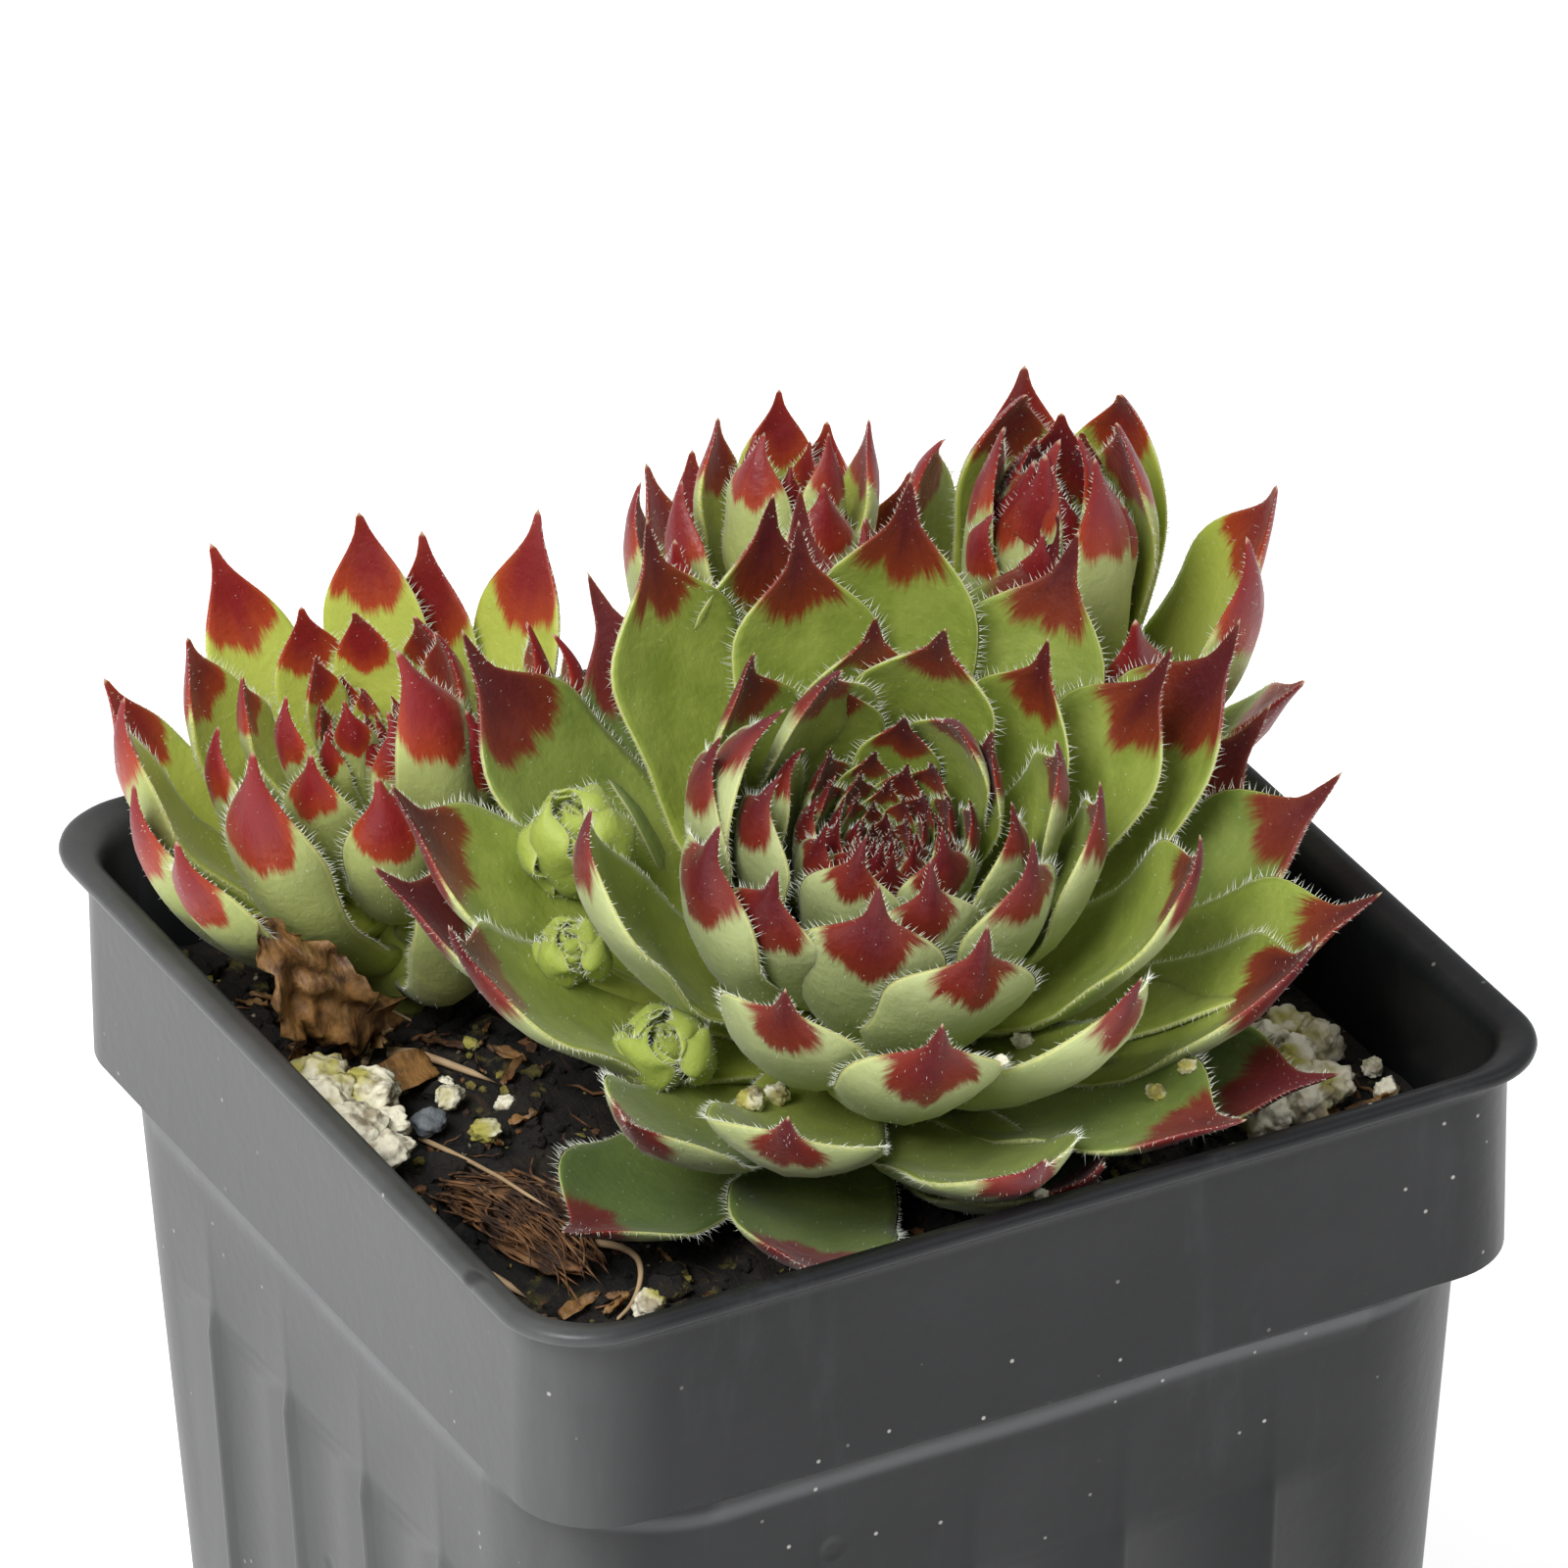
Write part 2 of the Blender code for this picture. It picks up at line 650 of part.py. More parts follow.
def blade(name, points, widths, thickness, facing, fold, material):
    """A thin leaf, flake or fibre along points, its flat side to facing, its edges folded up."""
    rings = []
    for k, point in enumerate(points[:-1]):
        ahead = (points[k + 1] - points[max(k - 1, 0)]).normalized()
        side = ahead.cross(facing).normalized() * (widths[k] / 2)
        up = side.cross(ahead).normalized()
        lift = up * (fold * widths[k])
        rings.append([point + side + lift, point + up * thickness / 2,
                      point - side + lift, point - up * thickness / 2])
    vertices, faces = loft(rings, tip=points[-1])
    return add_object(name, vertices, faces, material)


REST_STEP = 0.1               # how far a loose piece moves at a time until it lies clear
REST_STEPS = 200


def rest_on(thing, others, way=(0, 0, 1)):
    """Move a loose piece by small steps until it lies just clear of the others."""
    standing = [tree_of(other) for other in others]
    way = Vector(way).normalized() * MM
    for _ in range(REST_STEPS):
        tree = tree_of(thing)
        if not any(tree.overlap(other) for other in standing):
            break
        thing.data.transform(Matrix.Translation(way * REST_STEP))
    thing.data.transform(Matrix.Translation(way * GAP))


FIBRES = 7                    # strands in the tuft of bark fibre

PERLITE = {
    # name: (x, y), (length, width, height), turn in degrees
    "perlite_1": (((-26.3, 7.9), (2.4, 2.0, 1.8), 20),),
    "perlite_2": (((-26.2, 1.6), (1.8, 2.6, 1.8), 60),),
    "perlite_3": (((-26.8, -27.2), (2.5, 2.2, 2.2), 10),),
    "perlite_4": (((-18.6, -33.5), (4.8, 3.0, 2.6), 30),),
    "perlite_5": (((39.6, -23.2), (1.7, 1.5, 1.5), 0),),
    "perlite_6": (((36.4, -28.8), (1.6, 1.4, 1.3), 0),),
    "perlite_7": (((23.0, -30.6), (3.0, 2.6, 2.4), 40),),
    "perlite_8": (((38.8, -26.8), (1.9, 1.6, 2.0), 0),),
    "perlite_clump_left": (
        ((-35.8, 12.2), (5.4, 5.0, 4.4), 30), ((-36.7, 8.2), (5.0, 4.6, 4.2), 0),
        ((-37.0, 3.8), (5.6, 6.2, 4.6), 20), ((-33.0, 8.4), (4.6, 5.0, 3.6), 10),
        ((-35.4, 0.8), (3.6, 3.4, 2.6), 0), ((-33.4, 4.6), (3.4, 3.2, 2.4), 0)),
    "perlite_clump_right": (
        ((35.4, -16.8), (4.2, 4.0, 3.6), 0), ((36.8, -19.4), (4.2, 4.4, 3.6), 20),
        ((32.9, -17.8), (4.2, 4.0, 3.4), 50), ((33.6, -20.6), (4.4, 4.2, 3.8), 0),
        ((31.8, -23.2), (4.6, 4.4, 3.6), 10), ((31.0, -26.2), (5.0, 4.8, 3.8), 35),
        ((27.8, -27.2), (4.8, 4.2, 3.4), 15), ((34.4, -24.6), (4.2, 4.2, 3.2), 0)),
}


def make_perlite(ground, material):
    for name, crumbs in PERLITE.items():
        balls = [lump(f"{name}_{k}", *crumb, material) for k, crumb in enumerate(crumbs)]
        body = balls[0]
        body.name = name
        if len(balls) > 1:
            fuse(body, balls[1:])
        rest_on(body, [ground])


def make_dry_leaves(ground, head, material):
    """Two withered leaves: one leans on the left head, one lies before it."""
    front = (-0.40, -0.76, 0.51)
    points = [Vector(p) for p in ((-28.4, 21.6, 76.4), (-30.2, 18.6, 80.4), (-33.6, 18.0, 86.2),
                                  (-36.8, 19.0, 91.6))]
    leaf = blade("dry_leaf_1", points, (6.0, 8.0, 5.4), 0.8, Vector(front), 0.12, material)
    rest_on(leaf, [head], (-0.46, -0.89, 0.0))
    rest_on(leaf, [ground])
    low = POT_HEIGHT - SOIL_DEPTH + 0.5
    points = [Vector((x, y, low + z)) for x, y, z in
              ((-25.6, 12.6, 0.6), (-28.2, 11.9, 0.9), (-31.0, 11.6, 0.7), (-33.0, 12.4, 0.2))]
    leaf = blade("dry_leaf_2", points, (2.4, 3.4, 2.4), 0.8, Vector((-0.3, -0.5, 0.8)), 0.2,
                 material)
    rest_on(leaf, [ground])


def make_bark(ground, bark, root):
    """A tuft of coarse fibre, two flakes of bark and a loose root thread."""
    draw = random.Random("fibre")
    level = POT_HEIGHT - SOIL_DEPTH
    start = Vector((-31.8, -4.5, level + 1.4))
    end = Vector((-29.0, -22.5, level + 1.2))
    parts = []
    for k in range(FIBRES):
        drift = Vector((draw.uniform(-3.2, 3.2), draw.uniform(-1, 1), draw.uniform(-0.4, 1.6)))
        fan = Vector((draw.uniform(-2.4, 2.4), draw.uniform(-1, 1), draw.uniform(-0.8, 0.8)))
        first = draw.uniform(-0.05, 0.2)
        last = draw.uniform(0.75, 1.0)
        points = []
        for step in range(4):
            share = first + (last - first) * step / 3
            arch = Vector((0, 0, 1.6 * math.sin(math.pi * share)))
            points.append(start.lerp(end, share) + drift * 0.55 + fan * (share - 0.5) + arch)
        width = draw.uniform(0.9, 1.7)
        parts.append(blade(f"fibre_{k}", points, (width * 0.7, width, width * 0.8), 0.8,
                           Vector((0, 0, 1)), 0.0, bark))
    points = [Vector((x, y, level + z)) for x, y, z in
              ((-33.4, -0.6, 3.6), (-31.8, -4.8, 3.9), (-30.6, -9.6, 3.9), (-29.8, -15.4, 2.6))]
    parts.append(blade("fibre_long", points, (1.5, 1.2, 1.1), 0.7, Vector((0, 0, 1)), 0.0, bark))
    tuft = lump("bark_fibre", (-30.6, -13.4), (7.0, 15.0, 4.4), 8, bark)
    fuse(tuft, parts)
    rest_on(tuft, [ground])
    for name, centre, ahead, facing, size in (
            ("bark_flake_1", (-36.4, -20.0), (0.3, -0.9, 0.1), (-0.3, -0.2, 0.9), (5.6, 2.0)),
            ("bark_flake_2", (27.4, -33.6), (0.9, 0.3, 0.0), (0.0, -0.4, 0.9), (4.2, 2.2))):
        middle = Vector((*centre, level + 0.8))
        ahead = Vector(ahead).normalized() * size[0] / 2
        points = [middle - ahead, middle - ahead * 0.3, middle + ahead * 0.4, middle + ahead]
        flake = blade(name, points, (size[1] * 0.6, size[1], size[1] * 0.8), 0.7,
                      Vector(facing), 0.1, bark)
        rest_on(flake, [ground])
    thread = bpy.data.curves.new("root_thread", "CURVE")
    thread.dimensions = "3D"
    thread.bevel_depth = 0.35 * MM
    thread.bevel_resolution = 1
    thread.use_fill_caps = True
    route = [(-26.3, -17.2, 1.4), (-25.4, -19.4, 2.0), (-25.0, -21.4, 2.1), (-25.4, -23.0, 1.8),
             (-26.3, -24.3, 1.2), (-27.6, -25.4, 0.6), (-29.3, -26.4, 0.4)]
    spline = thread.splines.new("POLY")
    spline.points.add(len(route) - 1)
    for point, (x, y, z) in zip(spline.points, route):
        point.co = (x * MM, y * MM, (level + z) * MM, 1.0)
    curve = bpy.data.objects.new("thread_line", thread)
    collection.objects.link(curve)
    graph = bpy.context.evaluated_depsgraph_get()
    mesh = bpy.data.meshes.new_from_object(curve.evaluated_get(graph))
    bpy.data.objects.remove(curve, do_unlink=True)
    work = bmesh.new()
    work.from_mesh(mesh)
    bmesh.ops.remove_doubles(work, verts=work.verts, dist=SLIVER * MM)
    bmesh.ops.recalc_face_normals(work, faces=work.faces)
    work.to_mesh(mesh)
    work.free()
    mesh.materials.append(root)
    tube = bpy.data.objects.new("root_thread", mesh)
    collection.objects.link(tube)
    rest_on(tube, [ground])


def main():
    global collection
    clear_scene()
    collection = bpy.data.collections.new("potted_houseleek")
    bpy.context.scene.collection.children.link(collection)
    plastic = make_material("pot_plastic", (0.028, 0.030, 0.033), 0.42)
    earth = make_material("soil", (0.022, 0.015, 0.010), 0.95)
    leaf_green = make_material("leaf_green", (0.16, 0.30, 0.07), 0.5, 0.1)
    white = make_material("perlite", (0.62, 0.60, 0.46), 0.85)
    grey = make_material("stone", (0.10, 0.11, 0.12), 0.7)
    dry = make_material("dry_leaf", (0.26, 0.13, 0.05), 0.7)
    bark = make_material("bark", (0.12, 0.06, 0.03), 0.85)
    root = make_material("root", (0.42, 0.30, 0.17), 0.7)
    pot = make_pot(plastic)
    heads = rosettes()
    soil = make_soil(earth, [head.foot for head in heads])
    standing = [tree_of(pot), tree_of(soil)]
    grown = {}
    for head in heads:
        buds = young_buds() if head.name == "rosette_main" else []
        grown[head.name] = make_rosette(head, buds, standing, leaf_green)
    make_perlite(soil, white)
    rest_on(lump("stone", (-29.2, 5.6), (3.2, 2.8, 2.2), 30, grey), [soil])
    make_dry_leaves(soil, grown["rosette_left"], dry)
    make_bark(soil, bark, root)


main()
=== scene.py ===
# %% [markdown]
# # A houseleek in its square nursery pot
# The plant is one large rosette with three smaller ones beside it and three young buds between
# its leaves. It grows in a black square pot of dark peat with perlite, bark fibre and withered
# leaves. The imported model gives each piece's place. Here every plain solid is replaced by a
# finer piece in the same place, and each gets a procedural finish.

import math
import random

import bpy
import numpy as np
from mathutils import Matrix, Vector, noise
from mathutils.bvhtree import BVHTree


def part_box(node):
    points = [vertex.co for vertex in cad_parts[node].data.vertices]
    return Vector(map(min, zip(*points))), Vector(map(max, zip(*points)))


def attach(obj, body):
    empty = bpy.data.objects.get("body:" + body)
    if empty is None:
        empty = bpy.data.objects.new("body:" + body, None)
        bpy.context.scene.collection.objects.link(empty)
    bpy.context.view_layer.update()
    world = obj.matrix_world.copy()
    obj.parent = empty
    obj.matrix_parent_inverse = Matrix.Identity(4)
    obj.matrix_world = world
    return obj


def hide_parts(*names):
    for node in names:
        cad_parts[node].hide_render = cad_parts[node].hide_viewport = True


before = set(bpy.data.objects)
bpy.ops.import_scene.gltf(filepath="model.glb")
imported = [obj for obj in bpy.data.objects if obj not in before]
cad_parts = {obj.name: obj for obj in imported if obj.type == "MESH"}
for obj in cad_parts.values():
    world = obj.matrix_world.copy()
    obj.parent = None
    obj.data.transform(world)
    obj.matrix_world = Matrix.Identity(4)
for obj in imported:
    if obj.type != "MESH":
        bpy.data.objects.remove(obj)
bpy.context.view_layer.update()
MM = 0.001
print("CAD nodes:", len(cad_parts))

# %% [markdown]
# ## The camera
# The photograph is taken from above the front left corner with a long lens. The camera comes
# first, so that each piece can be judged in the picture's own view. Its three directions are
# written as a rotation, and the long lens needs a far clipping distance.

# %% Camera
RIGHT_OF_VIEW = Vector((0.88305301, -0.46920948, -0.00773598))
UP_OF_VIEW = Vector((0.24538977, 0.44764686, 0.85988148))
AHEAD = Vector((0.40000155, 0.76121926, -0.51043511))
CAMERA_PLACE = Vector((-0.49077, -0.93320, 0.72768))
LENS = 360                     # millimetres, over a sensor 36 mm wide
SENSOR = 36
FAR_CLIP = 20

camera_data = bpy.data.cameras.new("camera")
camera_data.lens = LENS
camera_data.sensor_width = SENSOR
camera_data.clip_end = FAR_CLIP
camera = bpy.data.objects.new("camera", camera_data)
turn = Matrix((RIGHT_OF_VIEW, UP_OF_VIEW, -AHEAD)).transposed()
camera.matrix_world = Matrix.Translation(CAMERA_PLACE) @ turn.to_4x4()
bpy.context.scene.collection.objects.link(camera)
bpy.context.scene.camera = camera
print("camera at", [round(c, 3) for c in CAMERA_PLACE])

# %% [markdown]
# ## Small helpers
# A modelling operator acts on all that is selected, and loading the model leaves its nodes
# selected. So each primitive is added through a helper that first deselects everything. Another
# helper makes a mesh from points in millimetres, because a botanist thinks of a leaf in those.


# %% Helpers for objects
def deselect_all():
    if bpy.context.mode != "OBJECT":
        bpy.ops.object.mode_set(mode="OBJECT")
    bpy.ops.object.select_all(action="DESELECT")


def pick(thing):
    """Make one object active, and the only one selected."""
    deselect_all()
    thing.select_set(True)
    bpy.context.view_layer.objects.active = thing


def add_primitive(operator, **settings):
    """A new primitive object, alone in the selection."""
    deselect_all()
    operator(**settings)
    return bpy.context.object


def take_shape(pattern):
    """The points and faces of a modelled pattern, whose object is then removed."""
    points = [vertex.co.copy() for vertex in pattern.data.vertices]
    faces = [tuple(face.vertices) for face in pattern.data.polygons]
    bpy.data.objects.remove(pattern, do_unlink=True)
    return points, faces


deselect_all()
print("objects selected now:", len(bpy.context.selected_objects))

# %% [markdown]
# A mesh can also be made straight from points and faces. Its faces are then turned outwards by
# the same operator that a modeller would use. Every finished piece is told which body it moves
# with and which plain node it stands for.


# %% Helpers for meshes
def mesh_object(name, points, faces, material, smooth=True):
    """An object from points in millimetres, with its faces turned outwards."""
    mesh = bpy.data.meshes.new(name)
    mesh.from_pydata((np.asarray(points, float) * MM).tolist(), [], faces)
    mesh.materials.append(material)
    thing = bpy.data.objects.new(name, mesh)
    bpy.context.scene.collection.objects.link(thing)
    pick(thing)
    bpy.ops.object.mode_set(mode="EDIT")
    bpy.ops.mesh.select_all(action="SELECT")
    bpy.ops.mesh.normals_make_consistent(inside=False)
    bpy.ops.object.mode_set(mode="OBJECT")
    if smooth:
        bpy.ops.object.shade_smooth()
    return thing


def place_piece(thing, slot, *nodes):
    """The piece rides with the pot, and stands for the plain nodes that it replaces."""
    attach(thing, "root")
    if nodes:
        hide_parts(*nodes)
    print(f"{thing.name}: {len(thing.data.polygons)} faces")


def loft(rings, tip=None):
    """Points and faces that join rings of equal count, closed at both ends."""
    points = [point for ring in rings for point in ring]
    count = len(rings[0])
    faces = []
    for r in range(len(rings) - 1):
        low, high = r * count, (r + 1) * count
        for k in range(count):
            n = (k + 1) % count
            faces.append((low + k, low + n, high + n, high + k))
    last = [(len(rings) - 1) * count + k for k in range(count)]
    if tip is None:
        faces.append(tuple(last))
    else:
        points.append(tip)
        faces += [(last[k], last[(k + 1) % count], len(points) - 1) for k in range(count)]
    faces.append(tuple(range(count))[::-1])
    return points, faces


def within(value, reach):
    """The value, kept between -reach and reach."""
    return max(-reach, min(reach, value))


print("a loft through two triangles has", len(loft([[0, 1, 2], [3, 4, 5]])[1]), "faces")

# %% [markdown]
# ## A short way to write a finish
# Each finish is a Principled shader with a pattern of noise, ramps and mixes in front of it. The
# classes below add one node for each call and give back its output, so that a finish reads like
# a recipe: this noise, through that ramp, laid over the base colour. The first class only adds
# nodes and feeds them.


# %% Materials: adding nodes
class NodeMaterial:
    """A Principled material, and the ways to add a node and feed it."""

    def __init__(self, name, **constants):
        self.material = bpy.data.materials.new(name)
        self.material.use_nodes = True
        self.tree = self.material.node_tree
        self.shader = self.tree.nodes["Principled BSDF"]
        for socket, value in constants.items():
            self.shader.inputs[socket.replace("_", " ")].default_value = value

    def add(self, kind, **settings):
        node = self.tree.nodes.new(kind)
        for name, value in settings.items():
            setattr(node, name, value)
        return node

    def feed(self, node, socket, value):
        if isinstance(value, bpy.types.NodeSocket):
            self.tree.links.new(value, node.inputs[socket])
        else:
            node.inputs[socket].default_value = value

    def fed(self, kind, *values, **settings):
        """A new node whose first inputs get these values."""
        node = self.add(kind, **settings)
        for k, value in enumerate(values):
            self.feed(node, k, value)
        return node

    def to_shader(self, socket, value):
        self.feed(self.shader, socket, value)


def calls_of(kind):
    return ", ".join(name for name in dir(kind) if name[0] != "_")


print("calls so far:", calls_of(NodeMaterial))

# %% [markdown]
# A pattern starts from a place on the piece, in the object's own coordinates, or from a colour
# attribute that its points carry. Noise and cells are read there, stretched where the real grain
# runs one way.


# %% Materials: patterns
class PatternMaterial(NodeMaterial):
    """Where a pattern is read, and the noise and cells that it is made of."""

    def place(self):
        return self.add("ShaderNodeTexCoord").outputs["Object"]

    def attribute(self, name):
        """The red, green and blue parts of a colour attribute, and its alpha."""
        source = self.add("ShaderNodeAttribute", attribute_name=name)
        parts = self.fed("ShaderNodeSeparateColor", source.outputs["Color"])
        return [*parts.outputs[:3], source.outputs["Alpha"]]

    def stretch(self, vector, scale):
        node = self.fed("ShaderNodeMapping", vector)
        node.inputs["Scale"].default_value = scale
        return node.outputs[0]

    def split(self, vector):
        return self.fed("ShaderNodeSeparateXYZ", vector).outputs[:3]

    def combine(self, x, y, z):
        return self.fed("ShaderNodeCombineXYZ", x, y, z).outputs[0]

    def noise(self, vector, scale, detail=3.0, rough=0.55):
        node = self.fed("ShaderNodeTexNoise", vector)
        for socket, value in (("Scale", scale), ("Detail", detail), ("Roughness", rough)):
            node.inputs[socket].default_value = value
        return node.outputs["Fac"]

    def cells(self, vector, scale):
        node = self.fed("ShaderNodeTexVoronoi", vector)
        node.inputs["Scale"].default_value = scale
        return node.outputs["Distance"]


print("calls so far:", calls_of(PatternMaterial))

# %% [markdown]
# What is read is then worked on: added and multiplied, eased from none to full, and used to mix
# two colours or to raise the surface.


# %% Materials: finishes
class Finish(PatternMaterial):
    """Short calls that turn patterns into colours and bumps."""

    def math(self, operation, *values, clamp=False):
        node = self.fed("ShaderNodeMath", *values, operation=operation, use_clamp=clamp)
        return node.outputs[0]

    def plus(self, a, b):
        return self.math("ADD", a, b)

    def minus(self, a, b):
        return self.math("SUBTRACT", a, b)

    def times(self, a, b):
        return self.math("MULTIPLY", a, b)

    def scaled(self, value, factor, shift):
        """The value times the factor, plus the shift."""
        return self.math("MULTIPLY_ADD", value, factor, shift)

    def ease(self, value, none, full):
        """0 up to none, 1 from full on, and smooth between them; none may be the larger."""
        node = self.fed("ShaderNodeMapRange", value, none, full, interpolation_type="SMOOTHSTEP")
        return node.outputs[0]

    def mix(self, share, a, b):
        node = self.add("ShaderNodeMix", data_type="RGBA")
        self.feed(node, 0, share)
        for k, value in ((6, a), (7, b)):
            if isinstance(value, tuple):
                value = (*value, 1.0)
            self.feed(node, k, value)
        return node.outputs[2]

    def cover(self, base, where, share, colour):
        """The base, with a share of another colour laid over it where the mask says."""
        return self.mix(self.times(where, share), base, colour)

    def bump(self, height, distance, strength=1.0, under=None):
        node = self.add("ShaderNodeBump")
        self.feed(node, "Height", height)
        node.inputs["Strength"].default_value = strength
        node.inputs["Distance"].default_value = distance
        if under is not None:
            self.feed(node, "Normal", under)
        return node.outputs[0]


print("calls of a finish:", calls_of(Finish))

# %% [markdown]
# ## The pot
# A vacuum-formed black nursery pot, 90 mm over its lip. Below the rim comes a collar with a
# tighter corner, then a step, then the tapered body with short ribs. The corner's radius
# changes from part to part, which no scaling of one outline gives, so the pot is lofted through
# rounded squares of equal point count.

# %% Pot: sizes
POT_HEIGHT = 88.0
LIP_WIDTH = 90.0
LIP_THICKNESS = 1.4
LIP_OVERHANG = 1.8
LIP_RADIUS = 8.0
COLLAR_HEIGHT = 19.4
COLLAR_RADIUS = 7.2
STEP_INSET = 0.9
BODY_RADIUS = 14.0
BODY_TAPER = 0.05
WALL = 1.3
FLOOR = 1.6
RIB_TOP = 33.0
RIB_PROUD = 0.6
RIB_HALF_WIDTH = 0.9
RIB_PLACES = (-20.1, -6.7, 6.7, 20.1)
DRAIN_RADIUS = 4.0
DRAIN_OFFSET = 24.0
CORNER_STEPS = 14


def pot_ring(half, radius, height, rib=0.0):
    """Rounded square outline, with points for the ribs along each side."""
    points = []
    for side in range(4):
        spin = Matrix.Rotation(side * math.pi / 2, 3, "Z")
        outline = []
        for place in RIB_PLACES:
            for shift, rise in ((-1.0, 0.0), (-0.5, 0.8), (0.0, 1.0), (0.5, 0.8), (1.0, 0.0)):
                outline.append(Vector((half + rise * rib, place + shift * RIB_HALF_WIDTH, height)))
        for step in range(CORNER_STEPS + 1):
            angle = math.pi / 2 * step / CORNER_STEPS
            reach = half - radius
            outline.append(Vector((reach + radius * math.cos(angle),
                                   reach + radius * math.sin(angle), height)))
        points += [spin @ point for point in outline]
    return points


def body_half(below_rim):
    """Half width of the outer wall below the collar."""
    step_half = LIP_WIDTH / 2 - LIP_OVERHANG - STEP_INSET
    return step_half - BODY_TAPER * (below_rim - COLLAR_HEIGHT)


def inner_half(below_rim):
    """Half width of the inner wall."""
    if below_rim < COLLAR_HEIGHT:
        return LIP_WIDTH / 2 - LIP_OVERHANG - WALL
    return body_half(below_rim) - WALL


print("the pot's base is", round(2 * body_half(POT_HEIGHT), 1), "mm wide")

# %% [markdown]
# The real pot's plastic is charcoal and satin. It carries pale dust and specks, shallow pits from
# the mould, faint scuffs along the sides, a painted grey sheen on its left side that stands for
# the light's reflection there, blotched by the scuffs, and a thin painted pale highlight along the
# step's lower edge. The pits are also painted darker, as painted shade in their dents. The finish
# builds these over one dark colour and lets the roughness vary with them.

# %% Pot: finish
plastic = Finish("pot_plastic", Specular_IOR_Level=0.24)
place = plastic.place()
across, _, up = plastic.split(place)
tone = plastic.noise(place, 38.0, 4.0)
fine = plastic.noise(place, 900.0, 2.0)
scuffs = plastic.noise(plastic.stretch(place, (40.0, 40.0, 9.0)), 3.0, 6.0, 0.7)
specks = plastic.times(plastic.ease(plastic.cells(place, 380.0), 0.085, 0.045),
                       plastic.ease(plastic.noise(place, 60.0, 1.0), 0.48, 0.58))
pits = plastic.times(plastic.ease(plastic.cells(place, 120.0), 0.16, 0.05),
                     plastic.ease(plastic.noise(place, 31.0, 0.0), 0.52, 0.6))
wave = plastic.times(plastic.minus(plastic.noise(place, 25.0, 1.0), 0.5), 0.0035)
height = plastic.plus(up, wave)
# Painted highlight: a thin pale band along the step's lower edge.
line = plastic.times(plastic.ease(height, 0.0662, 0.0672), plastic.ease(height, 0.0684, 0.0674))
# Painted reflection: a grey sheen over the left side, blotched by the scuffs.
painted_left_sheen = plastic.times(plastic.ease(across, -0.033, -0.0435), plastic.scaled(scuffs, 1.0, 0.32))
base = plastic.mix(plastic.ease(tone, 0.3, 0.7), (0.0055, 0.006, 0.0068), (0.012, 0.0125, 0.014))
base = plastic.cover(base, plastic.ease(scuffs, 0.52, 0.75), 0.22, (0.06, 0.062, 0.065))
# The painted reflection lightens the left side towards grey.
base = plastic.mix(painted_left_sheen, base, (0.078, 0.079, 0.080))
# The painted highlight along the step.
base = plastic.cover(base, line, 0.40, (0.12, 0.125, 0.13))
# Painted shade: the pits are darkened in their dents.
base = plastic.cover(base, pits, 0.6, (0.008, 0.008, 0.009))
base = plastic.cover(base, specks, 0.8, (0.36, 0.35, 0.32))
plastic.to_shader("Base Color", base)
plastic.to_shader("Roughness", plastic.scaled(specks, 0.3, plastic.scaled(scuffs, 0.30, 0.24)))
dents = plastic.bump(plastic.minus(1.0, pits), 0.00025, 0.6)
relief = plastic.plus(tone, plastic.times(fine, 0.12))
plastic.to_shader("Normal", plastic.bump(relief, 0.0009, 0.25, dents))
print("finish:", plastic.material.name)

# %% [markdown]
# The wall is drawn as a list of rounded squares from the base up to the lip's underside. Each
# row gives half a width, a corner radius, a height and how far the ribs stand proud. Between the
# body and the collar the corner tightens in three small steps.

# %% Pot: outer wall
COLLAR = LIP_WIDTH / 2 - LIP_OVERHANG
STEP = POT_HEIGHT - COLLAR_HEIGHT
UNDER_LIP = POT_HEIGHT - LIP_THICKNESS


def outer_rings():
    """Base, tapered body with its ribs, step and collar."""
    base, top = body_half(POT_HEIGHT), body_half(COLLAR_HEIGHT)
    ribs_end = POT_HEIGHT - RIB_TOP
    rows = [(base - 1.0, BODY_RADIUS - 1.0, 0.0),
            (base - 0.3, BODY_RADIUS - 0.3, 0.35, 0.3),
            (base, BODY_RADIUS, 1.2, RIB_PROUD),
            (body_half(RIB_TOP + 2.5), BODY_RADIUS, ribs_end - 2.5, RIB_PROUD),
            (body_half(RIB_TOP + 1.0), BODY_RADIUS, ribs_end - 1.0, RIB_PROUD * 0.5),
            (body_half(RIB_TOP), BODY_RADIUS, ribs_end),
            (body_half(COLLAR_HEIGHT + 3), BODY_RADIUS, STEP - 3.0),
            (top, BODY_RADIUS, STEP - 0.5)]
    for share in (0.2, 0.5, 0.8):
        rows.append((top + (COLLAR - top) * share,
                     BODY_RADIUS + (COLLAR_RADIUS - BODY_RADIUS) * share, STEP - 0.5 + share))
    rows += [(COLLAR, COLLAR_RADIUS, STEP + 0.5),
             (COLLAR, COLLAR_RADIUS, STEP + 1.3),
             (COLLAR, COLLAR_RADIUS, UNDER_LIP - 1.6),
             (COLLAR + 0.1, COLLAR_RADIUS, UNDER_LIP - 0.8),
             (COLLAR + 0.5, COLLAR_RADIUS, UNDER_LIP - 0.35)]
    return [pot_ring(*row) for row in rows]


print("rings of the outer wall:", len(outer_rings()))

# %% [markdown]
# The lip is rolled, so it gets seven rings over its round edge, and more where it turns down into
# the inner wall. A real rim is never quite level, and this one waves by a tenth of a millimetre.

# %% Pot: lip and inner wall
ROUND_EDGE = 0.6
RIM_WAVE = 0.12
RIM_FIRST, RIM_LAST = 12, -3   # the rings that wave


